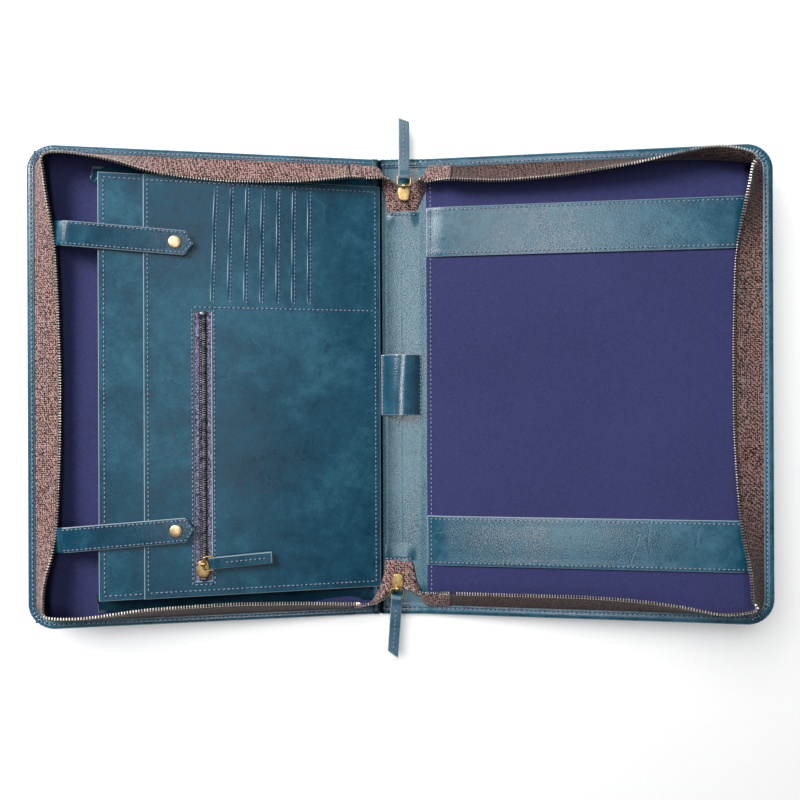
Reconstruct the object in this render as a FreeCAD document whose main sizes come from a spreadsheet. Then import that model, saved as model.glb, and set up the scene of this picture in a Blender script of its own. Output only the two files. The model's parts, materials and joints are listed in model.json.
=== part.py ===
import FreeCAD, Part
import os
import re
import Sketcher

# A zip-round portfolio case, lying open on its spine.
# The origin is the middle of the spine's underside; +X points to the right cover,
# +Y to the top edge and +Z up. Each cover hinges on a rolled fold beside the spine.
# In a cover's own frame x runs outwards from its hinge line (negative on the left cover),
# y along the hinge line and z up from the hinge axis.
# The organizer's frame is the left cover's, moved to the pocket's sewn edge and sloped
# with the pocket's face; in it z = 0 is the underside of the file pocket's front panel.

SIZES = {
    "case_height": 345, "cover_width": 250, "corner_radius": 19, "cover_tilt": 8,
    "spine_width": 36, "spine_half": 15.3, "hinge_height": 2.5, "fold_radius": 2.5, "fold_gap": 3,
    "leather": 1.4, "thin_leather": 1.2, "skived_leather": 0.8, "hem_width": 7,
    "spine_board_width": 28, "spine_board_thick": 1.6, "lining_thick": 0.6,
    "left_board_thick": 1.4, "right_board_thick": 2.6,
    # the round zip: its tape stands on the hem's inner edge and leans inwards
    "zip_start": 20, "zip_tape_thick": 0.9, "zip_foot": 1, "zip_lean": 11.5, "zip_rise": 10.5,
    "zip_chamfer": 15, "zip_tooth_width": 2.6, "zip_tooth_height": 2.2, "zip_tooth_inset": 0.8,
    # the tape ends sewn to the spine
    "end_tape_root": 132.5, "end_tape_flat": 137, "end_tape_tip": 155, "end_tape_high": 6.3,
    "end_tape_thick": 0.8, "end_tape_narrow": 11, "end_tape_wide": 13,
    "notch_back": 0.3, "notch_half": 6,
    "pen_loop_radius": 11.2, "pen_loop_drop": 2.2, "pen_loop_shift": -1, "pen_loop_low": -21.7,
    "pen_loop_high": 24, "pen_loop_flange": 14.6,
    # the organizer on the left cover
    "pocket_start": 5, "pocket_slope": 3.3, "pocket_width": 197, "pocket_height": 302,
    "gusset_start": 9, "gusset_end": 196, "panel_reach": 2.2, "organizer_end": 165,
    "slot_pitch": 11.4, "slot_overlap": 0.4, "slot_first": 117.5, "slot_low": 59, "slot_high": 146.5,
    "inner_zip_place": 123.2, "inner_zip_width": 11.6, "inner_zip_low": -140, "inner_zip_high": 54,
    "inner_tape_thick": 0.6, "inner_tooth_width": 4.4, "inner_tooth_height": 1.1,
    "inner_stop_length": 3, "inner_stop_height": 1.8,
    # the straps that close the file pocket, and their snaps
    "strap_width": 18, "strap_thick": 1.8, "strap_root": 226, "strap_tip": 133.5, "strap_point": 6,
    "strap_tip_half": 1.5, "strap_root_place": 107, "strap_lean": 3.1, "strap_clearance": 0.5,
    "strap_lift": 13.1, "strap_gap": 0.4, "strap_anchor": 12, "strap_shoulder": 3.4,
    "snap_place": 147, "snap_radius": 4.5, "snap_height": 2.2, "snap_round": 1.4,
    "stud_radius": 2.2, "stud_height": 1.3, "socket_radius": 3.2,
    "band_start": 4, "band_end": 236, "band_low": 97.5, "band_high": 135, "band_rise": 1,
    "band_ramp": 9,
    # zip sliders and their pulls
    "slider_length": 12, "slider_width": 9.3, "slider_neck": 6.4, "slider_nose": 4,
    "slider_plate": 1.4, "slider_gap": 1.4, "slider_shoulder": 2.5, "slider_waist": 2,
    "post_width": 2.2, "post_start": 2.6, "post_end": 5, "skirt_width": 1, "skirt_height": 1.1,
    "crown_width": 3.2, "crown_length": 3.6, "crown_height": 3.2, "pivot_bore": 1.1,
    "pivot_offset": 4.6, "inner_pivot_offset": 4.2, "bail_width": 11.2, "bail_length": 8.6,
    "bail_wire": 1.2, "bail_radius": 1.6, "pull_width": 8.4, "pull_start": 4.6, "pull_length": 44.6,
    "inner_pull_length": 44, "pull_thick": 2.6, "pull_eye": 1, "pull_slant": 2.5,
    "top_slider_x": 2.4, "top_slider_y": 145.6, "bottom_slider_x": -3.4, "bottom_slider_y": 146.8,
    "bottom_pull_lean": 4.2, "inner_slider_y": -131, "inner_slider_lift": 2.8,
    "inner_pull_lean": 3,
}

doc = FreeCAD.newDocument("PortfolioCase")
sheet = doc.addObject("Spreadsheet::Sheet", "Sizes")
for row, (alias, number) in enumerate(SIZES.items(), 1):
    sheet.set(f"A{row}", alias)
    sheet.set(f"B{row}", str(number))
    sheet.setAlias(f"B{row}", alias)
doc.recompute()

SPINE = "placement(vector(0; 0; 0); rotationz(0))"
COVERS = {
    "left": "placement(vector(-spine_width / 2; 0; hinge_height); rotationy(cover_tilt))",
    "right": "placement(vector(spine_width / 2; 0; hinge_height); rotationy(-cover_tilt))",
}
OUTWARD = {"left": "-1", "right": "1"}
PLATE_TOP = "(leather - hinge_height)"
LINING_TOP = {side: f"({PLATE_TOP} + {side}_board_thick + lining_thick)" for side in COVERS}
HEM_TOP = {side: f"({LINING_TOP[side]} + skived_leather)" for side in COVERS}
ORGANIZER = (f"{COVERS['left']} * "
             f"placement(vector(-pocket_start; 0; {LINING_TOP['left']}); rotationy(pocket_slope))")


# ---- drawing with formulas ------------------------------------------------------------------

def formula(text):
    """Return the expression with every size name pointed at the sheet."""
    return re.sub(r"[a-z_]+", lambda word: f"Sizes.{word[0]}" if word[0] in SIZES else word[0], text)


def value(text):
    """Return what a formula comes to now."""
    return float(sheet.evalExpression(formula(text)))


def new_body(name, place):
    """Start a sub-part whose Placement follows the formula in place."""
    body = doc.addObject("PartDesign::Body", name)
    body.Label = name
    body.setExpression("Placement", formula(place))
    return body


def new_sketch(body, plane, offset="0"):
    """Attach a sketch to one of the body's own origin planes, offset along its normal."""
    sketch = body.newObject("Sketcher::SketchObject", body.Name + "_sketch")
    support = next(item for item in body.Origin.OriginFeatures if item.Role == plane + "_Plane")
    sketch.AttachmentSupport = [(support, "")]
    sketch.MapMode = "FlatFace"
    sketch.setExpression("AttachmentOffset.Base.z", formula(offset))
    return sketch


def bind(sketch, kind, *place):
    """Add a driving constraint whose last argument is a formula."""
    index = sketch.addConstraint(Sketcher.Constraint(kind, *place[:-1], value(place[-1])))
    sketch.setExpression(f"Constraints[{index}]", formula(place[-1]))


def draw_polygon(sketch, corners):
    """Draw a closed polygon; each corner is a pair of formulas."""
    points = [FreeCAD.Vector(value(x), value(y), 0) for x, y in corners]
    first = sketch.GeometryCount
    count = len(points)
    for start, end in zip(points, points[1:] + points[:1]):
        sketch.addGeometry(Part.LineSegment(start, end))
    for index in range(count):
        sketch.addConstraint(
            Sketcher.Constraint("Coincident", first + index, 2, first + (index + 1) % count, 1))
    for index, (x, y) in enumerate(corners, first):
        bind(sketch, "DistanceX", -1, 1, index, 1, x)
        bind(sketch, "DistanceY", -1, 1, index, 1, y)


def draw_box(sketch, low_x, high_x, low_y, high_y):
    """Draw a rectangle between four formulas."""
    draw_polygon(sketch, [(low_x, low_y), (high_x, low_y), (high_x, high_y), (low_x, high_y)])


def draw_circle(sketch, x, y, radius):
    """Draw a circle from three formulas."""
    centre = FreeCAD.Vector(value(x), value(y), 0)
    index = sketch.addGeometry(Part.Circle(centre, FreeCAD.Vector(0, 0, 1), value(radius)))
    bind(sketch, "DistanceX", -1, 1, index, 3, x)
    bind(sketch, "DistanceY", -1, 1, index, 3, y)
    bind(sketch, "Radius", index, radius)


def pad(sketch, length, both_ways=False):
    """Pad a sketch along its normal, or half each way."""
    body = sketch.getParentGeoFeatureGroup()
    feature = body.newObject("PartDesign::Pad", body.Name + "_pad")
    feature.Profile = sketch
    feature.SideType = "Symmetric" if both_ways else "One side"
    feature.setExpression("Length", formula(length))
    doc.recompute()
    return feature


def cut_through(sketch):
    """Cut a sketch right through its body, both ways."""
    body = sketch.getParentGeoFeatureGroup()
    feature = body.newObject("PartDesign::Pocket", body.Name + "_cut")
    feature.Profile = sketch
    feature.Type = "ThroughAll"
    feature.SideType = "Symmetric"
    before = body.Shape.Volume
    doc.recompute()
    if body.Shape.Volume >= before:
        raise ValueError(f"{feature.Name} cuts nothing")
    return feature


def round_uprights(feature, places, radius):
    """Fillet the edges that stand upright at the given (x, y) places of a feature's body."""
    body = feature.getParentGeoFeatureGroup()
    wanted = [FreeCAD.Vector(value(x), value(y), 0) for x, y in places]
    names = []
    for number, edge in enumerate(feature.Shape.Edges, 1):
        ends = [vertex.Point for vertex in edge.Vertexes]
        flat = [FreeCAD.Vector(end.x, end.y, 0) for end in ends]
        upright = len(ends) == 2 and flat[0].distanceToPoint(flat[1]) < 1e-6
        if upright and min(flat[0].distanceToPoint(point) for point in wanted) < 1e-4:
            names.append(f"Edge{number}")
    fillet = body.newObject("PartDesign::Fillet", body.Name + "_fillet")
    fillet.Base = (feature, names)
    fillet.setExpression("Radius", formula(radius))
    doc.recompute()
    return fillet


def slab(name, place, corners, bottom, thickness):
    """Make a flat piece: a polygon on the XY plane, raised to bottom and padded upwards."""
    body = new_body(name, place)
    sketch = new_sketch(body, "XY", bottom)
    draw_polygon(sketch, corners)
    pad(sketch, thickness)
    return body


def block(name, place, low_x, high_x, low_y, high_y, bottom, thickness):
    """Make a flat rectangular piece."""
    corners = [(low_x, low_y), (high_x, low_y), (high_x, high_y), (low_x, high_y)]
    return slab(name, place, corners, bottom, thickness)


def strip(name, place, profile, width):
    """Make a bent strip: a polygon on the XZ plane, padded half its width each way."""
    body = new_body(name, place)
    sketch = new_sketch(body, "XZ")
    draw_polygon(sketch, profile)
    pad(sketch, width, both_ways=True)
    return body


# ---- spine ----------------------------------------------------------------------------------

SPINE_SEAT = "(leather + spine_board_thick + thin_leather)"


def make_spine():
    """The spine: outer leather with a rolled fold at each side, a board and inner leather."""
    outer = new_body("spine_outer_leather", SPINE)
    sketch = new_sketch(outer, "XZ")
    draw_box(sketch, "-spine_width / 2", "spine_width / 2", "0", "leather")
    pad(sketch, "case_height", both_ways=True)
    for fold in ("-spine_width / 2", "spine_width / 2"):
        sketch = new_sketch(outer, "XZ")
        draw_circle(sketch, fold, "hinge_height", "fold_radius")
        pad(sketch, "case_height", both_ways=True)
    edge = "case_height / 2"
    for sign in ("1", "-1"):
        wall = new_sketch(outer, "XY", "leather")
        draw_box(wall, "-spine_half", "spine_half", f"{sign} * ({edge} - leather)", f"{sign} * {edge}")
        pad(wall, f"{SPINE_SEAT} + skived_leather - leather")
        hem = new_sketch(outer, "XY", SPINE_SEAT)
        draw_box(hem, "-spine_half", "spine_half", f"{sign} * ({edge} - hem_width)", f"{sign} * {edge}")
        pad(hem, "skived_leather")
    end = f"({edge} - leather)"
    block("spine_board", SPINE, "-spine_board_width / 2", "spine_board_width / 2",
          f"-{end}", end, "leather", "spine_board_thick")
    block("spine_inner_leather", SPINE, "-spine_half", "spine_half",
          f"-{end}", end, "leather + spine_board_thick", "thin_leather")


def make_pen_loop():
    """A leather arch over the middle of the spine, sewn down by a flange on each side."""
    body = new_body("pen_loop", SPINE)
    middle = f"({SPINE_SEAT} - pen_loop_drop)"
    length = "pen_loop_high - pen_loop_low"
    arch = new_sketch(body, "XZ", "-pen_loop_high")
    draw_circle(arch, "pen_loop_shift", middle, "pen_loop_radius")
    draw_circle(arch, "pen_loop_shift", middle, "(pen_loop_radius - thin_leather)")
    pad(arch, length)
    below = new_sketch(body, "XZ")
    draw_box(below, "-spine_width", "spine_width", f"{SPINE_SEAT} - spine_width", SPINE_SEAT)
    cut_through(below)
    for sign in ("-1", "1"):
        flange = new_sketch(body, "XZ", "-pen_loop_high")
        draw_box(flange, f"pen_loop_shift + {sign} * (pen_loop_radius - thin_leather)",
                 f"{sign} * pen_loop_flange", SPINE_SEAT, f"{SPINE_SEAT} + thin_leather")
        pad(flange, length)


def make_end_tape(end, sign):
    """Where the zip ends, both tapes are sewn to the spine together and rise to the slider."""
    body = new_body(f"{end}_zip_end_tape", SPINE)
    under = [("end_tape_root", SPINE_SEAT), ("end_tape_flat", "end_tape_high"),
             ("end_tape_tip", "end_tape_high")]
    over = [(y, f"{z} + end_tape_thick") for y, z in under]
    side_view = new_sketch(body, "YZ")
    draw_polygon(side_view, [(f"{sign} * {y}", z) for y, z in under + over[::-1]])
    pad(side_view, "2 * spine_width", both_ways=True)
    around = new_sketch(body, "XY")
    draw_box(around, "-2 * spine_width", "2 * spine_width", "-case_height", "case_height")
    notch = f"{end}_slider_x"
    draw_polygon(around, [
        ("-end_tape_narrow", f"{sign} * end_tape_root"),
        ("end_tape_narrow", f"{sign} * end_tape_root"),
        ("end_tape_wide", f"{sign} * end_tape_tip"),
        (f"{notch} + notch_half", f"{sign} * end_tape_tip"),
        (notch, f"{sign} * ({end}_slider_y - notch_back)"),
        (f"{notch} - notch_half", f"{sign} * end_tape_tip"),
        ("-end_tape_wide", f"{sign} * end_tape_tip")])
    cut_through(around)


# ---- covers ---------------------------------------------------------------------------------

def cover_box(side, inset, start="fold_gap"):
    """A cover layer's inner and outer x and half its height, inset from the rim on three sides."""
    out = OUTWARD[side]
    return (f"{out} * ({start})", f"{out} * (cover_width - ({inset}))",
            f"(case_height / 2 - ({inset}))")


def rim_polygon(side, inset, width):
    """A three-sided rim, open at the hinge, of the given width inside the given inset."""
    near, far, half = cover_box(side, inset)
    _, far_inner, half_inner = cover_box(side, f"{inset} + {width}")
    return [(near, half), (far, half), (far, f"-{half}"), (near, f"-{half}"),
            (near, f"-{half_inner}"), (far_inner, f"-{half_inner}"),
            (far_inner, half_inner), (near, half_inner)]


def rim_corners(side, inset):
    """The two corners away from the hinge."""
    _, far, half = cover_box(side, inset)
    return [(far, half), (far, f"-{half}")]


def make_cover_leather(side):
    """Outer leather: a plate whose edge is turned up and over the board as a hem."""
    body = new_body(f"{side}_outer_leather", COVERS[side])
    near, far, half = cover_box(side, "0")
    plate = new_sketch(body, "XY", "-hinge_height")
    draw_box(plate, near, far, f"-{half}", half)
    pad(plate, "leather")
    wall = new_sketch(body, "XY", PLATE_TOP)
    draw_polygon(wall, rim_polygon(side, "0", "leather"))
    pad(wall, f"{LINING_TOP[side]} - {PLATE_TOP}")
    hem = new_sketch(body, "XY", LINING_TOP[side])
    draw_polygon(hem, rim_polygon(side, "0", "hem_width"))
    top = pad(hem, "skived_leather")
    for inset in ("hem_width", "leather", "0"):
        top = round_uprights(top, rim_corners(side, inset), f"corner_radius - {inset}")


def make_cover_layer(name, side, bottom, thickness, start="fold_gap"):
    """A board or lining that fills a cover inside its turned edge."""
    near, far, half = cover_box(side, "leather", start)
    body = block(name, COVERS[side], near, far, f"-{half}", half, bottom, thickness)
    round_uprights(body.Tip, rim_corners(side, "leather"), "corner_radius - leather")


def zip_band(side, inset, width):
    """A three-sided band with cut corners: one level of the standing zip."""
    out = OUTWARD[side]
    near, far, half = cover_box(side, inset, "zip_start")
    _, far_in, half_in = cover_box(side, f"{inset} + {width}", "zip_start")
    cut = "zip_chamfer"
    cut_in = f"(zip_chamfer - {2 - 2 ** 0.5:.3f} * ({width}))"
    outer = [(near, half), (f"{far} - {out} * {cut}", half), (far, f"{half} - {cut}"),
             (far, f"-({half} - {cut})"), (f"{far} - {out} * {cut}", f"-{half}"), (near, f"-{half}")]
    inner = [(near, f"-{half_in}"), (f"{far_in} - {out} * {cut_in}", f"-{half_in}"),
             (far_in, f"-({half_in} - {cut_in})"), (far_in, f"{half_in} - {cut_in}"),
             (f"{far_in} - {out} * {cut_in}", half_in), (near, half_in)]
    return outer + inner


def make_zip_side(side):
    """Half of the round zip: a tape that stands on the hem's inner edge, with a row of teeth."""
    body = new_body(f"{side}_zip_tape", COVERS[side])
    foot = "(hem_width - zip_foot)"
    levels = []
    for height, inset in (("0", foot), ("zip_rise", f"({foot} + zip_lean)")):
        sketch = new_sketch(body, "XY", f"{HEM_TOP[side]} + {height}")
        draw_polygon(sketch, zip_band(side, inset, "zip_tape_thick"))
        levels.append(sketch)
    loft = body.newObject("PartDesign::AdditiveLoft", body.Name + "_loft")
    loft.Profile = levels[0]
    loft.Sections = levels[1:]
    loft.Ruled = True
    doc.recompute()
    slab(f"{side}_zip_teeth", COVERS[side],
         zip_band(side, f"({foot} + zip_lean - zip_tooth_inset)", "zip_tooth_width"),
         f"{HEM_TOP[side]} + zip_rise", "zip_tooth_height")


def make_cover(side):
    """One cover: outer leather, board, lining and its half of the zip."""
    make_cover_leather(side)
    make_cover_layer(f"{side}_board", side, PLATE_TOP, f"{side}_board_thick")
    edge = "pocket_start" if side == "left" else "fold_gap"
    make_cover_layer(f"{side}_lining", side, f"{PLATE_TOP} + {side}_board_thick", "lining_thick",
                     edge)
    make_zip_side(side)


def make_pad_bands():
    """Two leather bands across the right cover, sewn at both ends, that hold a writing pad."""
    floor = LINING_TOP["right"]
    raised = f"{floor} + band_rise"
    under = [("band_start", floor), ("band_start + band_ramp", raised),
             ("band_end - band_ramp", raised), ("band_end", floor)]
    over = [(x, f"{z} + thin_leather") for x, z in under]
    for name, sign in (("upper", "1"), ("lower", "-1")):
        middle = f"placement(vector(0; {sign} * (band_low + band_high) / 2; 0); rotationz(0))"
        strip(f"{name}_pad_band", f"{COVERS['right']} * {middle}", under + over[::-1],
              "band_high - band_low")


# ---- organizer ------------------------------------------------------------------------------

def pocket_height_at(place):
    """Height of the file pocket's underside at a distance from the hinge line."""
    return f"({LINING_TOP['left']} + ({place} - pocket_start) * tan(pocket_slope))"


def make_file_pocket():
    """The file pocket: a sloping panel sewn down by the spine, with a wedge gusset at each end."""
    half = "pocket_height / 2"
    block("file_pocket_panel", ORGANIZER, "-pocket_width", "panel_reach", f"-{half}", half,
          "0", "thin_leather")
    floor = LINING_TOP["left"]
    wedge = [("-gusset_start", floor), ("-gusset_end", floor),
             ("-gusset_end", pocket_height_at("gusset_end")),
             ("-gusset_start", pocket_height_at("gusset_start"))]
    for name, sign in (("upper", "1"), ("lower", "-1")):
        edge = f"placement(vector(0; {sign} * ({half} - thin_leather / 2); 0); rotationz(0))"
        strip(f"{name}_pocket_gusset", f"{COVERS['left']} * {edge}", wedge, "thin_leather")


def make_organizer():
    """The front leather with its zip window, and the card slots sewn on it like shingles."""
    half = "pocket_height / 2"
    front = block("organizer_panel", ORGANIZER, "-organizer_end", "panel_reach",
                  f"-{half}", half, "thin_leather", "thin_leather")
    window = new_sketch(front, "XY")
    draw_box(window, "-inner_zip_place - inner_zip_width / 2",
             "-inner_zip_place + inner_zip_width / 2", "inner_zip_low", "inner_zip_high")
    cut_through(window)
    for number in range(7):
        mouth = f"(slot_first - {number} * slot_pitch)"
        block(f"card_slot_{number + 1}", ORGANIZER, f"-{mouth}",
              f"-{mouth} + slot_pitch - slot_overlap", "slot_low", "slot_high",
              "2 * thin_leather", "skived_leather")


def make_inner_zip():
    """The organizer's own zip: tape in the window, a row of teeth and a stop at each end."""
    def along(name, width, low, high, bottom, thickness):
        block(name, ORGANIZER, f"-inner_zip_place - {width} / 2", f"-inner_zip_place + {width} / 2",
              low, high, bottom, thickness)

    tape_top = "thin_leather + inner_tape_thick"
    along("inner_zip_tape", "inner_zip_width", "inner_zip_low", "inner_zip_high",
          "thin_leather", "inner_tape_thick")
    low = "inner_zip_low + inner_stop_length"
    high = "inner_zip_high - inner_stop_length"
    along("inner_zip_teeth", "inner_tooth_width", low, high, tape_top, "inner_tooth_height")
    along("inner_zip_lower_stop", "inner_tooth_width", "inner_zip_low", low,
          tape_top, "inner_stop_height")
    along("inner_zip_upper_stop", "inner_tooth_width", high, "inner_zip_high",
          tape_top, "inner_stop_height")


# ---- straps ---------------------------------------------------------------------------------

def snap_disc(name, place, radius, bottom, height, rounding=""):
    """A round snap piece, with its top edge rounded where asked."""
    body = new_body(name, place)
    sketch = new_sketch(body, "XY", bottom)
    draw_circle(sketch, "0", "0", radius)
    disc = pad(sketch, height)
    if rounding:
        top = max(range(3), key=lambda index: disc.Shape.Edges[index].BoundBox.ZMin)
        fillet = body.newObject("PartDesign::Fillet", name + "_fillet")
        fillet.Base = (disc, [f"Edge{top + 1}"])
        fillet.setExpression("Radius", formula(rounding))
        doc.recompute()


def make_strap(name, sign):
    """A strap from under the zip tape, over the pocket's mouth, to its snap on the organizer."""
    frame = (f"{COVERS['left']} * placement(vector(-strap_root; {sign} * strap_root_place; 0); "
             f"rotationz(-1 * {sign} * strap_lean))")
    mouth = "(pocket_start + pocket_width)"
    front = "(pocket_start + organizer_end)"
    length = "(strap_root - strap_tip)"
    under = [("0", "strap_lift"),
             (f"strap_root - {mouth}", f"{pocket_height_at(mouth)} + thin_leather + strap_clearance"),
             (f"strap_root - {front}",
              f"{pocket_height_at(front)} + 2 * thin_leather + strap_clearance"),
             (length, f"{pocket_height_at('strap_tip')} + 2 * thin_leather + strap_clearance")]
    over = [(x, f"{z} + strap_thick") for x, z in under]
    body = strip(f"{name}_strap", frame, under + over[::-1], "strap_width")
    for edge in ("1", "-1"):
        corner = new_sketch(body, "XY")
        draw_polygon(corner, [(f"{length} - strap_point", f"{edge} * strap_width"),
                              (f"{length} - strap_point", f"{edge} * strap_width / 2"),
                              (length, f"{edge} * strap_tip_half"),
                              (f"{length} + strap_point", f"{edge} * strap_tip_half"),
                              (f"{length} + strap_point", f"{edge} * strap_width")])
        cut_through(corner)
    socket = new_sketch(body, "XY")
    draw_circle(socket, "strap_root - snap_place", "0", "socket_radius")
    cut_through(socket)

    shoulder = "strap_lift + strap_thick"
    strip(f"{name}_strap_root", frame, [
        ("-strap_anchor", LINING_TOP["left"]), ("-strap_anchor + strap_thick", LINING_TOP["left"]),
        ("-strap_thick", "strap_lift - strap_clearance"), ("-strap_gap", "strap_lift"),
        ("-strap_gap", shoulder), ("-strap_shoulder + strap_clearance", shoulder),
        ("-strap_shoulder", "strap_lift")], "strap_width")

    aside = f"{sign} * (strap_root_place - (strap_root - snap_place) * tan(strap_lean))"
    snap = f"{ORGANIZER} * placement(vector(pocket_start - snap_place; {aside}; 0); rotationz(0))"
    snap_disc(f"{name}_snap_stud", snap, "stud_radius", "2 * thin_leather", "stud_height")
    snap_disc(f"{name}_snap_cap", snap, "snap_radius",
              "2 * thin_leather + strap_clearance + strap_thick", "snap_height", "snap_round")


# ---- sliders and pulls ----------------------------------------------------------------------

def slider_outline():
    """A slider plate: narrow where the chain is closed, widest past its middle."""
    half = [("slider_neck / 2", "-slider_length / 2"), ("slider_width / 2", "-slider_waist"),
            ("slider_width / 2", "slider_shoulder"), ("slider_nose / 2", "slider_length / 2")]
    return half + [(f"-{x}", y) for x, y in half[::-1]]


def make_slider(name, frame, pull_frame, hollow_below):
    """A slider body with its crown, the loop on top that the pull's bail turns in."""
    body = slab(f"{name}_slider_body", frame, slider_outline(), "slider_gap / 2", "slider_plate")
    if hollow_below:
        lower = new_sketch(body, "XY", "-slider_gap / 2 - slider_plate")
        draw_polygon(lower, slider_outline())
        post = new_sketch(body, "XY", "-slider_gap / 2")
        draw_box(post, "-post_width / 2", "post_width / 2", "post_start", "post_end")
        pad(post, "slider_gap")
        pad(lower, "slider_plate")
    else:
        for sign in ("1", "-1"):
            skirt = new_sketch(body, "XY", "slider_gap / 2 - skirt_height")
            draw_box(skirt, f"{sign} * (slider_width / 2 - skirt_width)", f"{sign} * slider_width / 2",
                     "-slider_waist", "slider_shoulder")
            pad(skirt, "skirt_height")
    crown = block(f"{name}_slider_crown", pull_frame, "-crown_width / 2", "crown_width / 2",
                  "-crown_length / 2", "crown_length / 2", "-crown_height / 2", "crown_height")
    bore = new_sketch(crown, "YZ")
    draw_circle(bore, "0", "0", "pivot_bore")
    cut_through(bore)


def make_pull(name, pull_frame, length):
    """A wire bail through the crown, and a strip of leather folded round its far bar."""
    bail = new_body(f"{name}_bail", pull_frame)
    ring = new_sketch(bail, "XY", "-bail_wire / 2")
    near = "-bail_wire / 2"
    far = "(bail_length - bail_wire / 2)"
    draw_box(ring, "-bail_width / 2", "bail_width / 2", near, far)
    draw_box(ring, "-bail_width / 2 + bail_wire", "bail_width / 2 - bail_wire",
             "bail_wire / 2", f"{far} - bail_wire")
    corners = [(f"{sign} * bail_width / 2", y) for sign in ("1", "-1") for y in (near, far)]
    round_uprights(pad(ring, "bail_wire"), corners, "bail_radius")

    leather = new_body(f"{name}_pull_leather", pull_frame)
    side_view = new_sketch(leather, "YZ")
    draw_box(side_view, "pull_start", f"pull_start + {length}", "-pull_thick / 2", "pull_thick / 2")
    draw_circle(side_view, f"{far} - bail_wire / 2", "0", "pull_eye")
    pad(side_view, "pull_width", both_ways=True)
    tip = new_sketch(leather, "XY")
    end = f"(pull_start + {length})"
    draw_polygon(tip, [("-pull_width", f"{end} + pull_slant"), ("pull_width", f"{end} - pull_slant"),
                       ("pull_width", f"{end} + pull_slant")])
    cut_through(tip)


def make_sliders():
    """The two sliders of the round zip and the one of the organizer's zip, with their pulls."""
    tape = "end_tape_high + end_tape_thick / 2"
    seats = {
        "top": f"placement(vector(top_slider_x; top_slider_y; {tape}); rotationz(0))",
        "bottom": (f"placement(vector(bottom_slider_x; -bottom_slider_y; {tape}); "
                   "rotationz(180 - bottom_pull_lean))"),
        "inner": (f"{ORGANIZER} * placement(vector(-inner_zip_place; inner_slider_y; "
                  "inner_slider_lift); rotationz(0))"),
    }
    pivot = "slider_gap / 2 + slider_plate + crown_height / 2"
    for name, frame in seats.items():
        offset, turn = ("inner_pivot_offset", "inner_pull_lean - 90") if name == "inner" else (
            "pivot_offset", "0")
        pull_frame = f"{frame} * placement(vector(0; {offset}; {pivot}); rotationz({turn}))"
        make_slider(name, frame, pull_frame, hollow_below=name != "inner")
        make_pull(name, pull_frame, "inner_pull_length" if name == "inner" else "pull_length")


# ---- building and export --------------------------------------------------------------------

def build():
    """Make every sub-part."""
    make_spine()
    make_pen_loop()
    make_end_tape("top", "1")
    make_end_tape("bottom", "-1")
    for side in COVERS:
        make_cover(side)
    make_pad_bands()
    make_file_pocket()
    make_organizer()
    make_inner_zip()
    make_strap("upper", "1")
    make_strap("lower", "-1")
    make_sliders()
    doc.recompute()


def check_and_export():
    """Stop on any failed object or bad shape, then write one STEP file for each sub-part."""
    for item in doc.Objects:
        if {"Invalid", "Error"} & set(item.State):
            raise ValueError(f"{item.Label} failed: {item.State}")
    bodies = [item for item in doc.Objects if item.TypeId == "PartDesign::Body"]
    for body in bodies:
        if body.Shape.isNull() or not body.Shape.isValid() or len(body.Shape.Solids) != 1:
            raise ValueError(f"{body.Label} has no single valid solid")
    os.makedirs("parts", exist_ok=True)
    for body in bodies:
        body.Shape.exportStep(os.path.join("parts", f"{body.Label}.step"))
    print(f"{len(bodies)} sub-parts written")


build()
check_and_export()
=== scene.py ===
import json
import math

import bpy
import numpy as np
from mathutils import Matrix, Vector


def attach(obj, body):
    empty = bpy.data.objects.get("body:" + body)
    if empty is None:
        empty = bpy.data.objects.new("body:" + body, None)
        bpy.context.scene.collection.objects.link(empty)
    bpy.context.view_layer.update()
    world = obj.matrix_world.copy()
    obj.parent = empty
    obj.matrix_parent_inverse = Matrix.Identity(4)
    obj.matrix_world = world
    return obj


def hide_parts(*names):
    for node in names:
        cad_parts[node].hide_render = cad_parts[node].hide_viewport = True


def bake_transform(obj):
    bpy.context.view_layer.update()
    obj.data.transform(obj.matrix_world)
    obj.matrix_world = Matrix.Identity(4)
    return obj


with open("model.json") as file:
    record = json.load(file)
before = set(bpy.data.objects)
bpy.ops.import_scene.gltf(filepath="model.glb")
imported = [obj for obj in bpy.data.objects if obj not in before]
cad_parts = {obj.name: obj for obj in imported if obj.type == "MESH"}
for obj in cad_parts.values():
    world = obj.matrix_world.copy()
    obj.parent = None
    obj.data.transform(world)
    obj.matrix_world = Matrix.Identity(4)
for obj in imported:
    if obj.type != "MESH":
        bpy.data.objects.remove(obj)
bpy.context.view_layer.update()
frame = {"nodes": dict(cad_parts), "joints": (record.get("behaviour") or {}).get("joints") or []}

# The looks of a zip-round portfolio case. Lengths are millimetres in the cover's, spine's or
# organizer's own frame, and become metres as each mesh is made. In a cover's frame, out is the
# distance from the hinge line, along runs up the spine and high is measured from the hinge axis.

MM = 0.001


# ---- places, read from the frame ----

def joint(name):
    """The record's joint of that name."""
    return next(item for item in frame["joints"] if item["name"] == name)


def corners_of(node):
    """A node's vertices as an array, in metres."""
    return np.array([vertex.co for vertex in frame["nodes"][node].data.vertices])


def facing(node):
    """The direction of a flat node's broadest upward face."""
    upward = (face for face in frame["nodes"][node].data.polygons if face.normal.z > 0.5)
    return max(upward, key=lambda face: face.area).normal.copy()


def stand(origin, along, up):
    """A place whose y axis runs along and whose z axis points up."""
    across = along.cross(up).normalized()
    along = up.cross(across).normalized()
    turn = Matrix((across, along, up.normalized())).transposed()
    return Matrix.Translation(Vector(origin)) @ turn.to_4x4()


def extent(node, place):
    """Lowest and highest corner of a node in a place's own axes, in millimetres."""
    inverse = np.array(PLACES[place].inverted())
    points = corners_of(node) @ inverse[:3, :3].T + inverse[:3, 3]
    return points.min(0) / MM, points.max(0) / MM


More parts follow.
